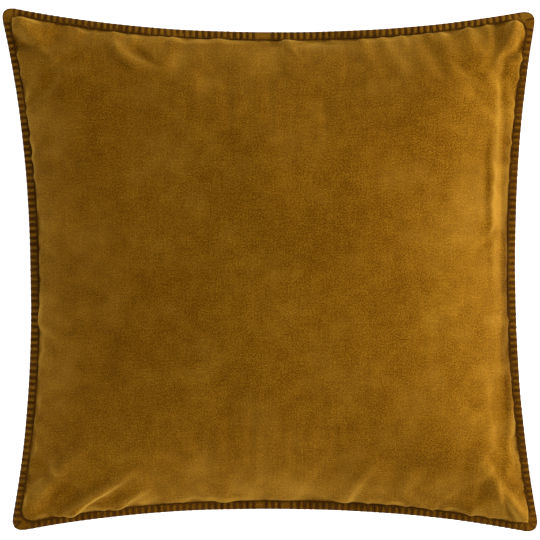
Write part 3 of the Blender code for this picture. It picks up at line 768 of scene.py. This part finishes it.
def panelShades(grid, u, v, front):
    # painted shade at each point of a panel's face, with darker patches of crushed pile, and its paleness:
    # painted highlight on crests and where the face turns down, partly wear of the pile
    x, y = grid[..., 0], grid[..., 1]
    distance = seamDistance(u, v)
    wavy = 1 + 0.5 * softNoise(y, x, 0.030, 35)
    mottle = 0.75 + 0.35 * softNoise(y, x, 0.018, 33)
    # painted shade in the groove along the seam, mottled
    shade = np.exp(-distance / (0.0018 + 0.0008 * np.exp(-v / 0.05))) * 0.80 * mottle
    # painted shade: a wide dark band along the right side, where the face turns away from the light
    turned = eased(np.maximum(0, panels["span"] * (1 - u) - 0.0025), 0.0080 * wavy)
    shade = np.maximum(shade, 0.95 * turned * eased(np.abs(v - 0.47), 0.62))
    # painted highlight on a narrow crest just inside the seam, weaker on the right, partly wear of the pile
    patchy = 0.5 + 0.5 * softNoise(alongSeam(u, v), distance, 0.012, 31)
    crest = np.exp(-(((distance - 0.0036) / 0.0018) ** 2)) * patchy**2 * 0.55 * np.clip((1 - u) / 0.03, 0.1, 1)
    if front:
        # painted highlight along the ridges of the folds
        crest = crest + 0.22 * foldHeights(x, y, crests=True)
    crushed = softNoise(x, y, 0.026, 71) + 0.6 * softNoise(y, x, 0.011, 72)
    crushed = crushed * panels["crushedPile"] * (0.30 + 0.70 * np.exp(-distance / 0.045))
    crest = crest + np.maximum(0, crushed)
    shade = np.maximum(shade, np.maximum(0, -1.3 * crushed))
    # painted rim sheen: paler where the face turns down, less where painted shade lies
    tilt = 1 - np.abs(gridNormals(grid)[..., 2])
    return shade, np.clip(crest + panels["paintedRimSheen"] * tilt * (1 - shade), 0, 0.9)


def perimeterPlace(side, share):
    return sideStarts[side] + share * sideLengths[side]


def sharesAlong(outline, sides, plan):
    # how far along its side of an outline each point lies, straight across from it
    found, steps = np.zeros(len(plan)), np.linspace(0, 1, 2001)
    for side, (axis, _) in enumerate(sideAxis):
        line = outline.sideLine(side, steps)[:, axis]
        order, chosen = np.argsort(line), sides == side
        found[chosen] = np.interp(plan[chosen, axis], line[order], steps[order])
    return found


def edgeWave(place):
    turn = 2 * np.pi * place / roundLength
    wave = np.sin(7 * turn + 1.0) + 0.6 * np.sin(17 * turn + 2.2) + 0.35 * np.sin(31 * turn)
    return panels["edgeWave"] * wave / 1.9


def bareness(place):
    # 1 where the overlock has few stitches: at the corners and in a few short stretches
    bare = np.zeros_like(place)
    for corner in [perimeterPlace(i, 0.0) for i in range(4)] + [roundLength]:
        bare = np.maximum(bare, eased(np.maximum(0, np.abs(place - corner) - 0.002), 0.014) * 0.6)
    for side, share in ((0, 0.47), (0, 0.53), (2, 0.51)):
        bare = np.maximum(bare, eased(np.abs(place - perimeterPlace(side, share)), 0.012) * 0.9)
    return bare


def edgeStations(seam, seamSides, closed):
    # sides and shares for the points of the flat edge: one at each point of the seam and one between
    seamShares = sharesAlong(seamLine, seamSides, seam)
    total = len(seam)
    found = []
    for k in range(total if closed else total - 1):
        side, share, after = seamSides[k], seamShares[k], (k + 1) % total
        end = seamShares[after] if seamSides[after] == side else 1.0
        found += [(side, share), (side, (share + end) / 2)]
    if not closed:
        found.append((seamSides[-1], seamShares[-1]))
    sides, shares = zip(*found)
    return np.array(sides), np.array(shares)


def dressUp(obj, node):
    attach(obj, "pillow")
    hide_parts(node)
    return obj


def makePanel(name, node, u, v, border, front):
    # a panel's face, its flat edge outside the seam, and the velvet's thickness
    grid = panelPoints(u, v, front)
    shade, crest = panelShades(grid, u, v, front)
    rows, columns = u.shape
    side, closed = (1 if front else -1), front
    loop = np.array([r * columns + c for _, r, c in border])
    seam = grid.reshape(-1, 3)[loop]
    sides, shares = edgeStations(seam, np.array([entry[0] for entry in border]), closed)
    width, total, count = len(sides), len(border), panels["flangeRings"]
    place = perimeterPlace(sides, shares)
    innerPlan, outerPlan = seamLine.points(sides, shares), edgeLine.points(sides, shares)
    # painted shade and painted highlight of the flat edge, set by side
    fade, sideHighlight = (np.array(panels[key])[sides] for key in ("edgePaintedShade", "edgePaintedHighlight"))
    bare = bareness(place)
    level = frontBase + cover["velvet"] if front else restDrop
    points, shades, crests = [grid.reshape(-1, 3)], [shade.ravel()], [crest.ravel()]
    patterns = [betweenCorners(seamLine.corners, u[..., None], v[..., None]).reshape(-1, 2)]
    for k in range(count):
        t = (k + 0.65) / (count - 0.35)
        plan = innerPlan * (1 - t) + outerPlan * t
        straight = perimeterPlace(sides, sharesAlong(outerLine, sides, plan))
        ridge = 0.5 - 0.5 * np.cos(2 * np.pi * straight / roundLength * stitchCount)
        ridge = ridge * (1 - bare) + 0.5 * bare
        hump = math.sin(math.pi * min(1, t * 1.02)) ** 0.6
        z = panels["puff"] * (ridge - 0.35) * hump - panels["grooveDepth"] * math.exp(-((t / 0.13) ** 2))
        points.append(np.column_stack([plan, level + side * z + edgeWave(place) * t]))
        patterns.append(plan)
        # painted shade on the flat edge: darker between the velvet's ridges, in the groove at the seam and
        # towards the rim, less where it is bare
        dark = (0.66 * (1 - 0.75 * ridge) * (1 - 0.75 * bare) + 0.14) * fade
        dark = dark + 0.9 * math.exp(-((t / 0.16) ** 2)) * (1 - 0.4 * bare)
        dark = dark + 0.5 * math.exp(-(((1 - t) / 0.10) ** 2)) * (1 - 0.6 * bare)
        shades.append(np.clip(dark, 0, 1))
        # painted highlight on the ridges of the flat edge, strongest mid-way across
        crests.append(sideHighlight * (ridge * (1 - bare) + 0.8 * bare) * math.sin(math.pi * (k + 0.6) / (count + 0.2)))

    faces = gridFaces(columns, rows).tolist()
    rings = rows * columns + np.arange(count * width).reshape(count, width)
    for k in range(total if closed else total - 1):
        start, end = loop[k], loop[(k + 1) % total]
        first, middle, last = rings[0][[2 * k, 2 * k + 1, (2 * k + 2) % width]]
        faces += [[start, first, middle], [start, middle, end], [end, middle, last]]
    here = np.arange(width if closed else width - 1)
    after = (here + 1) % width
    for low, high in zip(rings, rings[1:]):
        faces += np.column_stack([low[here], high[here], high[after], low[after]]).tolist()
    if not front:
        faces = [face[::-1] for face in faces]
    masks = {"seamShade": np.concatenate(shades), "paintedSheenAndWear": np.concatenate(crests)}
    obj = newMesh(name, np.concatenate(points), faces, masks)
    mesh = obj.data
    corners = np.empty(len(mesh.loops), np.int32)
    mesh.loops.foreach_get("vertex_index", corners)
    pattern = np.concatenate(patterns)[corners].astype(np.float32)
    mesh.uv_layers.new(name="pattern").data.foreach_set("uv", pattern.ravel())
    mesh.materials.append(velvetMaterial)
    mesh.shade_smooth()
    wall = obj.modifiers.new("thickness", "SOLIDIFY")
    wall.thickness, wall.offset, wall.use_even_offset = cover["velvet"], -1, False
    dressUp(obj, node)
    return obj


def makeFrontPanel():
    cells = panels["cells"]
    u, v = np.meshgrid(np.linspace(0, 1, cells + 1), np.linspace(0, 1, cells + 1))
    border = [(0, 0, c) for c in range(cells)] + [(1, r, cells) for r in range(cells)]
    border += [(2, cells, c) for c in range(cells, 0, -1)] + [(3, r, 0) for r in range(cells, 0, -1)]
    return makePanel("frontPanel", "front_panel", u, v, border, True)


def makeBackPanels():
    # the strip below the zip's opening, and the panel above it
    cells = panels["cells"]
    shares, fine = np.linspace(0, 1, cells + 1), np.linspace(0, 1, 1601)
    plan = coonsPatch(seamLine, shares[None, :], fine[:, None])
    opening = zipFacts["windowHalfWidth"] * math.cos(zipFacts["tilt"])
    made = []
    for name, side, rows in zip(("Lower", "Upper"), (-1, 1), panels["openingRows"]):
        v = []
        for c in range(cells + 1):
            x, y = plan[:, c, 0], plan[:, c, 1]
            at = np.interp(zipY + side * cover["gap"] / 2, y, fine)
            if abs(np.interp(at, fine, x)) < zipFacts["windowHalfLength"]:
                at = np.interp(zipY + side * opening, y, fine)
            v.append(np.linspace(0, at, rows + 1) if side < 0 else np.linspace(at, 1, rows + 1))
        v = np.array(v).T
        u = np.broadcast_to(shares, v.shape)
        left = [(3, r, 0) for r in range(rows, 0 if side < 0 else -1, -1)]
        right = [(1, r, cells) for r in range(rows + 1 if side < 0 else rows)]
        if side < 0:
            border = left + [(0, 0, c) for c in range(cells)] + right
        else:
            border = right + [(2, rows, c) for c in range(cells, 0, -1)] + left
        made.append(makePanel("backPanel" + name, "back_panel_" + name.lower(), u, v, border, False))
    return made


frontPanel = makeFrontPanel()
print("front panel made")
backPanels = makeBackPanels()
print("back panels made")

# stitches: the sizes are named as in the node tree that takes them
overlock = {
    "Strands": 3,
    "Strand Radius": 0.00046,
    "Strand Spacing": 0.00082,
    "Reach": 0.0080,
    "Rise": 0.0016,
    "Turn Jitter": 0.28,
    "Place Jitter": 0.00075,
    "Seed": 7,
}
needleThread = {"inset": 0.00795, "stitch": 0.0032, "radius": 0.00032, "rise": 0.00028, "height": 0.00150}


def addChance(tree, seed):
    return output(tree, "FunctionNodeRandomValue", {"data_type": "FLOAT"}, 1, Seed=seed)


def jittered(tree, seed, number, amount):
    # a random value about 0 for each point, this wide in all
    chance = addChance(tree, calc(tree, "ADD", seed, number))
    return calc(tree, "MULTIPLY", calc(tree, "SUBTRACT", chance, 0.5), amount)


def turned(tree, axes, first, second, lean):
    # a rotation that lays two axes along two directions, and then leans about its own Z
    turn = output(tree, "FunctionNodeAxesToRotation", {"primary_axis": axes[0], "secondary_axis": axes[1]},
                  i0=first, i1=second)
    about = output(tree, "FunctionNodeAxisAngleToRotation", Axis=(0, 0, 1), Angle=lean)
    return output(tree, "FunctionNodeRotateRotation", {"rotation_space": "LOCAL"}, Rotation=turn, i1=about)


def captured(tree, geometry, kind, name, value):
    # geometry that carries a value with it, and that value
    made = addNode(tree, "GeometryNodeCaptureAttribute", Geometry=geometry)
    made.capture_items.new(kind, name)
    tree.links.new(value, made.inputs[1])
    return made.outputs[0], made.outputs[1]


def spreadOut(tree, curve, count):
    return addNode(tree, "GeometryNodeCurveToPoints", {"mode": "COUNT"}, Curve=curve, Count=count).outputs


def closeTree(tree, start, points, shape, **placing):
    # copies of a shape on points, made real, smooth and of their material
    placed = output(tree, "GeometryNodeInstanceOnPoints", Points=points, Instance=shape, **placing)
    real = output(tree, "GeometryNodeRealizeInstances", Geometry=placed)
    smooth = output(tree, "GeometryNodeSetShadeSmooth", Geometry=real)
    done = output(tree, "GeometryNodeSetMaterial", Geometry=smooth, Material=start["Material"])
    addNode(tree, "NodeGroupOutput", Geometry=done)
    return tree


def makeStitchTree():
    # strands across the edge: each starts in the seam and bends over the rim
    tree, start = newTree("overlockStitches", "GeometryNodeTree", {
        "Geometry": "Geometry", "Count": "Int", "Strands": "Int", "Strand Radius": "Float",
        "Strand Spacing": "Float", "Reach": "Float", "Rise": "Float", "Turn Jitter": "Float",
        "Place Jitter": "Float", "Seed": "Int", "Material": "Material",
    }, {"Geometry": "Geometry"})

    # one strand, along +X from the rim inwards
    line = output(tree, "GeometryNodeCurvePrimitiveLine", Start=(0, 0, 0), End=(1, 0, 0))
    line = output(tree, "GeometryNodeResampleCurve", Curve=line, Count=8)
    angle = calc(tree, "MULTIPLY", output(tree, "GeometryNodeSplineParameter"), math.pi / 2)
    inward = calc(tree, "MULTIPLY", calc(tree, "POWER", calc(tree, "SINE", angle), 0.42), start["Reach"])
    upward = calc(tree, "MULTIPLY", calc(tree, "POWER", calc(tree, "COSINE", angle), 0.30), start["Rise"])
    position = output(tree, "ShaderNodeCombineXYZ", X=calc(tree, "SUBTRACT", start["Reach"], inward), Z=upward)
    line = output(tree, "GeometryNodeSetPosition", Geometry=line, Position=position)
    circle = output(tree, "GeometryNodeCurvePrimitiveCircle", Resolution=5, Radius=start["Strand Radius"])
    strand = output(tree, "GeometryNodeCurveToMesh", Curve=line, i1=circle, **{"Fill Caps": True})

    # where the strands go: evenly round the edge, thinned where it is bare
    curve = output(tree, "GeometryNodeMeshToCurve", Mesh=start["Geometry"])
    bare = output(tree, "GeometryNodeInputNamedAttribute", {"data_type": "FLOAT"}, Name="bare")
    curve, bare = captured(tree, curve, "FLOAT", "bare", bare)
    spots = spreadOut(tree, curve, start["Count"])
    points, tangent = captured(tree, spots["Points"], "VECTOR", "tangent", spots["Tangent"])
    gone = output(tree, "FunctionNodeCompare", {"data_type": "FLOAT", "operation": "LESS_THAN"},
                  A=addChance(tree, start["Seed"]), B=bare)
    points = output(tree, "GeometryNodeDeleteGeometry", {"domain": "POINT"}, Geometry=points, Selection=gone)
    copies = addNode(tree, "GeometryNodeDuplicateElements", {"domain": "POINT"},
                     Geometry=points, Amount=start["Strands"]).outputs
    middle = calc(tree, "MULTIPLY", calc(tree, "SUBTRACT", start["Strands"], 1.0), 0.5)
    step = calc(tree, "SUBTRACT", copies["Duplicate Index"], middle)
    step = calc(tree, "MULTIPLY", step, start["Strand Spacing"])
    slide = jittered(tree, start["Seed"], 11.0, start["Place Jitter"])
    shift = output(tree, "ShaderNodeVectorMath", {"operation": "SCALE"}, i0=tangent,
                   Scale=calc(tree, "ADD", step, slide))
    moved = output(tree, "GeometryNodeSetPosition", Geometry=copies[0], Offset=shift)
    inwards = output(tree, "ShaderNodeVectorMath", {"operation": "CROSS_PRODUCT"}, i0=(0, 0, 1), i1=tangent)
    lean = jittered(tree, start["Seed"], 23.0, start["Turn Jitter"])
    return closeTree(tree, start, moved, strand, Rotation=turned(tree, "ZX", (0, 0, 1), inwards, lean))


def makeRowTree():
    # copies of one shape in a row along a line: X along the row, Z outwards
    tree, start = newTree("rowOfStitches", "GeometryNodeTree", {
        "Geometry": "Geometry", "Shape": "Object", "Count": "Int", "Outwards": "Vector", "Size Jitter": "Float",
        "Turn Jitter": "Float", "Seed": "Int", "Material": "Material",
    }, {"Geometry": "Geometry"})
    curve = output(tree, "GeometryNodeMeshToCurve", Mesh=start["Geometry"])
    spots = spreadOut(tree, curve, start["Count"])
    lean = jittered(tree, start["Seed"], 0.0, start["Turn Jitter"])
    rotation = turned(tree, "XZ", spots["Tangent"], start["Outwards"], lean)
    size = calc(tree, "ADD", jittered(tree, start["Seed"], 17.0, start["Size Jitter"]), 1.0)
    shape = output(tree, "GeometryNodeObjectInfo", which="Geometry", Object=start["Shape"])
    return closeTree(tree, start, spots["Points"], shape, Rotation=rotation, Scale=size)


stitchTree, rowTree = makeStitchTree(), makeRowTree()


def runTree(name, points, tree, values, closed=True, attributes=None):
    # runs a node tree over a line of points and returns the result as a plain mesh object
    count = len(points)
    edges = [(i, (i + 1) % count) for i in range(count if closed else count - 1)]
    path = newMesh(name + "Path", points, [], attributes, edges)
    modifier = path.modifiers.new("nodes", "NODES")
    modifier.node_group = tree
    sockets = {s.name: s.identifier for s in tree.interface.items_tree if s.in_out == "INPUT"}
    for key, value in values.items():
        modifier[sockets[key]] = value
    graph = bpy.context.evaluated_depsgraph_get()
    graph.update()
    plain = bpy.data.meshes.new_from_object(path.evaluated_get(graph), depsgraph=graph)
    plain.name = name
    bpy.data.objects.remove(path)
    return newObject(name, plain)


def wholeLine(outline, perSide):
    # points all round an outline, and their places along the pillow's rim
    sides = np.repeat(np.arange(4), perSide)
    shares = np.tile(np.linspace(0, 1, perSide, endpoint=False), 4)
    return outline.points(sides, shares), perimeterPlace(sides, shares)


def makeLooperThread(name, node, side):
    plan, place = wholeLine(edgeLine, 400)
    points = np.column_stack([plan, cover["flangeHeight"] + edgeWave(place)])
    values = {**overlock, "Count": stitchCount, "Rise": overlock["Rise"] * side, "Material": threadMaterial}
    obj = runTree(name, points, stitchTree, values, attributes={"bare": bareness(place)})
    dressUp(obj, node)


makeLooperThread("frontLooperThread", "edge_front_looper_thread", 1)
makeLooperThread("backLooperThread", "edge_back_looper_thread", -1)
print("overlock stitched")


def makePiece(name, points, faces, material, slot, node):
    obj = newMesh(name, points, faces)
    obj.data.materials.append(material)
    obj.data.shade_smooth()
    return dressUp(obj, node)


def slab(lower, upper):
    # a closed sheet between two grids of points, the upper one facing the grid's own way
    rows, columns = lower.shape[:2]
    count = rows * columns
    index = np.arange(count).reshape(rows, columns)
    faces = gridFaces(columns, rows)
    rim = np.concatenate([index[0, :-1], index[:-1, -1], index[-1, :0:-1], index[:0:-1, 0]])
    after = np.roll(rim, -1)
    wall = np.column_stack([rim, after, after + count, rim + count])
    points = np.concatenate([lower.reshape(-1, 3), upper.reshape(-1, 3)])
    return points, np.concatenate([faces[:, ::-1], faces + count, wall]).tolist()


def slabOver(x, y, low, high):
    return slab(np.dstack([x, y, low]), np.dstack([x, y, high]))


def tube(line, radius, sides=5):
    # a round thread along a line of points, its ends drawn in
    line = np.asarray(line, float)
    along = np.gradient(line, axis=0)
    along /= np.linalg.norm(along, axis=1, keepdims=True)
    across = np.cross(along, (0.03, 0.02, 1.0))
    across /= np.linalg.norm(across, axis=1, keepdims=True)
    upward = np.cross(across, along)
    width = np.full(len(line), radius)
    width[[0, -1]] = 0.55 * radius
    turns = np.arange(sides) * 2 * math.pi / sides
    circle = across[:, None] * np.cos(turns)[None, :, None] + upward[:, None] * np.sin(turns)[None, :, None]
    points = (line[:, None] + circle * width[:, None, None]).reshape(-1, 3)
    faces = []
    for ring in range(len(line) - 1):
        for k in range(sides):
            a, b = ring * sides + k, ring * sides + (k + 1) % sides
            faces.append([a, a + sides, b + sides, b])
    last = (len(line) - 1) * sides
    return points, faces + [list(range(sides)), [last + k for k in range(sides - 1, -1, -1)]]


def stitchShape(length, radius, rise):
    # one stitch: up out of the cloth, along it, and down again
    share = np.linspace(-1, 1, 7)
    return tube(np.column_stack([share * length / 2, 0 * share, rise * (1 - share**4)]), radius)


def makeRow(name, line, shape, count, material, outwards=(0, 0, 1), closed=False, jitter=0.06, lean=0.08,
            seed=3):
    single = newMesh(name + "Shape", *shape)
    values = {
        "Shape": single, "Count": count, "Outwards": tuple(float(v) for v in outwards), "Size Jitter": jitter,
        "Turn Jitter": lean, "Seed": seed, "Material": material,
    }
    obj = runTree(name, line, rowTree, values, closed)
    bpy.data.objects.remove(single)
    return obj


def makeNeedleThread():
    # the chain of stitches that lies in the groove between the pillow's face and its flat edge
    plan, place = wholeLine(OutlineCurve(needleThread["inset"], cover["seamCornerCut"]), 400)
    line = np.column_stack([plan, cover["flangeHeight"] + needleThread["height"] + 0.2 * edgeWave(place)])
    shape = stitchShape(needleThread["stitch"] * 0.94, needleThread["radius"], needleThread["rise"])
    count = round(lineLength(line, True) / needleThread["stitch"])
    row = makeRow("needleThread", line, shape, count, threadMaterial, closed=True, seed=5)
    dressUp(row, "edge_needle_thread")


makeNeedleThread()
print("needle thread sewn")

# the zip: heights are outwards from the middle of its slider's plate
zipRow = {
    "tapeInner": -0.001913,
    "tapeOuter": -0.001413,
    "tapeWidth": 0.0122,
    "tapeHalfLength": 0.1725,
    "tapeRipple": 0.00006,
    "tapeCord": 0.00012,  # the thicker woven edge of each tape
    "tapeCordWidth": 0.0009,
    "split": 0.0016,
    "coilInner": -0.001113,
    "coilOuter": 0.000487,
    "coilWidth": 0.0020,
    "toothPitch": 0.00136,
    "toothWire": 0.00030,
    "toothHead": 0.00007,
    "rowInset": 0.00255,
    "rowHeight": 0.00042,
    "rowStitch": 0.0030,
    "rowPastWindow": 0.001,
    "stitchRadius": 0.00026,
    "stitchRise": 0.0001,
    "tackSetback": 0.0031,
    "tackHalf": 0.0054,
    "tackPitch": 0.00042,
    "tackHeight": 0.00052,
    "tackStitchHalf": 0.00062,
    "tackRadius": 0.00024,
}
zipAlong = np.array([-1.0, 0, 0])
zipUp = np.array([0, math.cos(zipFacts["tilt"]), -math.sin(zipFacts["tilt"])])
zipOut = np.array([0, -math.sin(zipFacts["tilt"]), -math.cos(zipFacts["tilt"])])
zipMiddle = np.array([0, zipY, restDrop - zipFacts["drop"]])


def fromZip(along, up, out):
    # points from the zip's own frame: along it, up the panel, and outwards
    along, up, out = (part[..., None] for part in np.broadcast_arrays(along, up, out))
    return zipMiddle + along * zipAlong + up * zipUp + out * zipOut


def makeTape(name, side):
    width, reach = zipRow["tapeWidth"], zipRow["tapeHalfLength"]
    up = side * (zipRow["split"] / 2 + width * np.linspace(0, 1, 13))
    along, up = np.meshgrid(np.linspace(-reach, reach, 260), up if side > 0 else up[::-1])
    ripple = zipRow["tapeRipple"] * (np.sin(along * 210) * np.abs(up) / width - 1)
    cord = zipRow["tapeCord"] * np.exp(-(((np.abs(up) - width) / zipRow["tapeCordWidth"]) ** 2))
    lower = fromZip(along, up, zipRow["tapeInner"] + ripple)
    upper = fromZip(along, up, zipRow["tapeOuter"] + ripple + cord)
    tape = makePiece("zipTape" + name.capitalize(), *slab(lower, upper), tapeMaterial, "zip_tape",
                     "zip_tape_" + name)


def makeTeeth(name, side):
    # a coil of nylon wire: each turn runs from the tape to a thick head at the opening
    wire, pitch = zipRow["toothWire"], zipRow["toothPitch"]
    low, high = zipRow["coilInner"] + wire, zipRow["coilOuter"] - wire
    turn = np.linspace(0.12, 1.0, 9) * 2 * math.pi
    reach = zipRow["coilWidth"] / 2 - wire * 0.7
    centre = (zipRow["split"] + zipRow["coilWidth"]) / 2
    line = np.column_stack([np.linspace(-0.5, 0.5, 9) * pitch, side * (centre + reach * np.cos(turn)),
                            (low + high) / 2 + (high - low) / 2 * np.sin(turn)])
    points, faces = tube(line, wire)
    heads = np.abs(points[:, 1]) < centre - 0.5 * reach
    points[heads, 0] += np.sign(points[heads, 0]) * zipRow["toothHead"]
    length = zipFacts["length"] / 2 - pitch / 2
    row = fromZip(np.linspace(-length, length, 40), 0.0, 0.0)
    obj = makeRow("zipCoil" + name.capitalize(), row, (points, faces), round(2 * length / pitch), nylonMaterial,
                  zipOut, jitter=0.0, lean=0.0)
    dressUp(obj, "zip_coil_" + name)


def makeSeamRow(name, side):
    # the stitches that hold one side of the cover to its tape
    reach, pitch = zipFacts["windowHalfLength"] + zipRow["rowPastWindow"], zipRow["rowStitch"]
    up = side * (zipFacts["windowHalfWidth"] + zipRow["rowInset"])
    line = fromZip(np.linspace(-reach, reach, 60), up, zipRow["rowHeight"])
    stitch = stitchShape(pitch * 0.92, zipRow["stitchRadius"], zipRow["stitchRise"])
    row = makeRow("zipSeamThread" + name.capitalize(), line, stitch, round(2 * reach / pitch), threadMaterial,
                  zipOut, seed=8 + side)
    dressUp(row, "zip_seam_thread_" + name)


def makeTack(name, side):
    # a bar of close stitches across each end of the zip
    pitch, half = zipRow["tackPitch"], zipRow["tackHalf"]
    place = side * (zipFacts["windowHalfLength"] + zipRow["tackSetback"])
    line = fromZip(place, np.linspace(-half, half, 20), zipRow["tackHeight"])
    share = np.linspace(-1, 1, 6)
    stitch = np.column_stack([0.15 * pitch * share, zipRow["tackStitchHalf"] * share, -0.0002 * share**4])
    row = makeRow("zipEndTack" + name.capitalize(), line, tube(stitch, zipRow["tackRadius"]),
                  round(2 * half / pitch), threadMaterial, zipOut, lean=0.25)
    dressUp(row, "zip_end_tack_" + name)


for sideName, sideSign in (("upper", 1), ("lower", -1)):
    makeTape(sideName, sideSign)
    makeTeeth(sideName, sideSign)
    makeSeamRow(sideName, sideSign)
print("zip tapes and teeth made")
makeTack("left", 1)
makeTack("right", -1)
for nodeName in ("zip_top_stop_upper", "zip_top_stop_lower", "zip_bottom_stop", "zip_slider", "zip_pull_tab"):
    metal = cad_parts[nodeName]
    metal.data.materials.clear()
    metal.data.materials.append(brassMaterial)
print("zip ends and metal made")


def casingRise(x, y, room):
    # how high the casing's face stands over its seam, kept this far below the cover
    free = frontHeight(x, y) - frontBase - cover["velvet"] - room
    return np.minimum(cover["frontRise"] * casingSeam.swell(x, y), free)


def casingLumps(x, y, seed):
    swell = np.minimum(1, 6 * casingSeam.swell(x, y))
    broad = softNoise(x, y, 0.060, seed) + 0.6 * softNoise(y, x, 0.031, seed + 1) - 0.9
    gathers = softNoise(x + y, x - y, 0.009, seed + 2) * np.exp(-3 * swell)
    return swell * (insert["lumps"] * broad + insert["puckers"] * (gathers - 0.5))


def casingTop(x, y):
    return frontBase + np.maximum(0, casingRise(x, y, insert["room"]) + casingLumps(x, y, 41))


def casingBottom(x, y):
    room = insert["room"] + insert["zipRoom"] * zipShare(x, y)
    drop = np.minimum(cover["backDrop"] * casingSeam.swell(x, y), restDrop - backHeight(x, y) - room)
    return backBase - np.maximum(0, drop + casingLumps(x, y, 51))


def planGrid(outline, cells):
    shares = 0.5 - 0.5 * np.cos(np.linspace(0, math.pi, cells + 1))
    plan = coonsPatch(outline, shares[None, :], shares[:, None])
    return plan[..., 0], plan[..., 1]


def makeCasing():
    x, y = planGrid(casingEdge, insert["cells"])
    top, bottom, thick = casingTop(x, y), casingBottom(x, y), insert["casing"]
    made = []
    for name, low, high in (("Front", top, top + thick), ("Back", bottom - thick, bottom)):
        obj = makePiece("insertCasing" + name, *slabOver(x, y, low, high), casingMaterial, "casing",
                        "insert_casing_" + name.lower())
        made.append(obj)
    return made


def makeFill():
    # the fibre, thin at the casing's seam and held off the casing everywhere
    x, y = planGrid(fillLine, insert["fillCells"])
    off = insert["fillRoom"] + insert["tufts"] * (1 + softNoise(x, y, 0.014, 61))
    swell = fillLine.swell(x, y)
    above, below = cover["flangeHeight"] + insert["leastFill"], cover["flangeHeight"] - insert["leastFill"]
    high = np.minimum(np.maximum(casingTop(x, y) - off, above), above + cover["frontRise"] * swell)
    low = np.maximum(np.minimum(casingBottom(x, y) + off, below), below - cover["backDrop"] * swell)
    fill = makePiece("insertFill", *slabOver(x, y, low, high), fibreMaterial, "fibre", "insert_fill")


def makeInsertSeam():
    plan, _ = wholeLine(OutlineCurve(insert["stitchInset"], insert["cornerCut"]), 300)
    line = np.column_stack([plan, np.full(len(plan), frontBase + insert["casing"] + insert["stitchHeight"])])
    row = makeRow("insertSeamThread", line, stitchShape(insert["stitch"] * 0.9, 0.00022, 0.00014),
                  round(lineLength(line, True) / insert["stitch"]), sewingMaterial, closed=True, seed=12)
    dressUp(row, "insert_seam_thread")


insertCasing = makeCasing()
makeFill()
makeInsertSeam()
print("insert made")


def makeLabel(name, node, key, height):
    # a small woven label with a little curl at its free end
    middle, size = labels[key + "Middle"], labels[key + "Size"]
    shareX, shareY = np.meshgrid(np.linspace(-1, 1, 25), np.linspace(-1, 1, 25))
    x, y = middle[0] + shareX * size[0] / 2, middle[1] + shareY * size[1] / 2
    low = height(x, y) + labels["curl"] * (0.5 * np.sin(3 * shareX + 2 * shareY) + 0.5 * shareX**2 - 0.25)
    obj = makePiece(name, *slabOver(x, y, low, low + labels["thickness"]), labelMaterial, "label", node)


def overCasing(x, y):
    return frontBase + casingRise(x, y, labels["underCover"]) + labels["overCasing"]


def overBackPanel(x, y):
    return backHeight(x, y) + cover["velvet"] + labels["overCover"]


makeLabel("careLabel", "care_label", "care", overBackPanel)
makeLabel("insertLabel", "insert_label", "insert", overCasing)
print("labels made")

# stage
studio = {
    "viewWidth": 0.5025,
    "lens": 100.0,
    "worldStrength": 0.31,
    "floorGlow": 0.85,
    "floorHalf": 6.0,
    "floorDrop": 0.0005,
    "lightColor": (1.0, 0.97, 0.92),
}
lights = {  # place, size and power
    "keySoftbox": ((1.15, 0.10, 0.40), (0.5, 0.8), 19.2),
    "leftFill": ((-0.8, -0.6, 0.8), (0.8, 0.8), 4.5),
    "topFill": ((0.0, 1.1, 0.5), (0.8, 0.5), 5.0),
    "bottomFill": ((0.1, -1.1, 0.5), (0.8, 0.5), 4.7),
}


def makeFloor():
    made, tree = newMaterial("paleFloor")
    paint = output(tree, "ShaderNodeBsdfDiffuse", Color=(0.86, 0.86, 0.86, 1))
    glow = output(tree, "ShaderNodeEmission", Color=(1, 1, 1, 1), Strength=studio["floorGlow"])
    lit = output(tree, "ShaderNodeAddShader", i0=paint, i1=glow)
    behind = output(tree, "ShaderNodeNewGeometry", which="Backfacing")  # clear from below
    mixed = output(tree, "ShaderNodeMixShader", i0=behind, i1=lit, i2=output(tree, "ShaderNodeBsdfTransparent"))
    addNode(tree, "ShaderNodeOutputMaterial", Surface=mixed)
    half, drop = studio["floorHalf"], -studio["floorDrop"]
    corners = [(-half, -half, drop), (half, -half, drop), (half, half, drop), (-half, half, drop)]
    obj = newMesh("floor", corners, [(0, 1, 2, 3)])
    obj.data.materials.append(made)


def addLight(name, place, size, power):
    data = bpy.data.lights.new(name, "AREA")
    data.shape, data.size, data.size_y = "RECTANGLE", size[0], size[1]
    data.energy, data.color = power, studio["lightColor"]
    obj = newObject(name, data)
    obj.location = place
    away = Vector((0, 0, cover["flangeHeight"])) - Vector(place)
    obj.rotation_euler = away.to_track_quat("-Z", "Y").to_euler()


def addCamera():
    # straight above, with the pillow filling the view
    data = bpy.data.cameras.new("camera")
    data.lens = studio["lens"]
    camera = newObject("camera", data)
    camera.location = (0, 0, cover["flangeHeight"] + studio["viewWidth"] * studio["lens"] / data.sensor_width)
    bpy.context.scene.camera = camera


makeFloor()
for lightName, facts in lights.items():
    addLight(lightName, *facts)
world = bpy.data.worlds.new("studioRoom")
world.use_nodes = True
background = world.node_tree.nodes["Background"].inputs
background[0].default_value, background[1].default_value = (1, 1, 1, 1), studio["worldStrength"]
bpy.context.scene.world = world
bpy.context.scene.view_settings.view_transform = "Standard"
addCamera()
print("stage set")
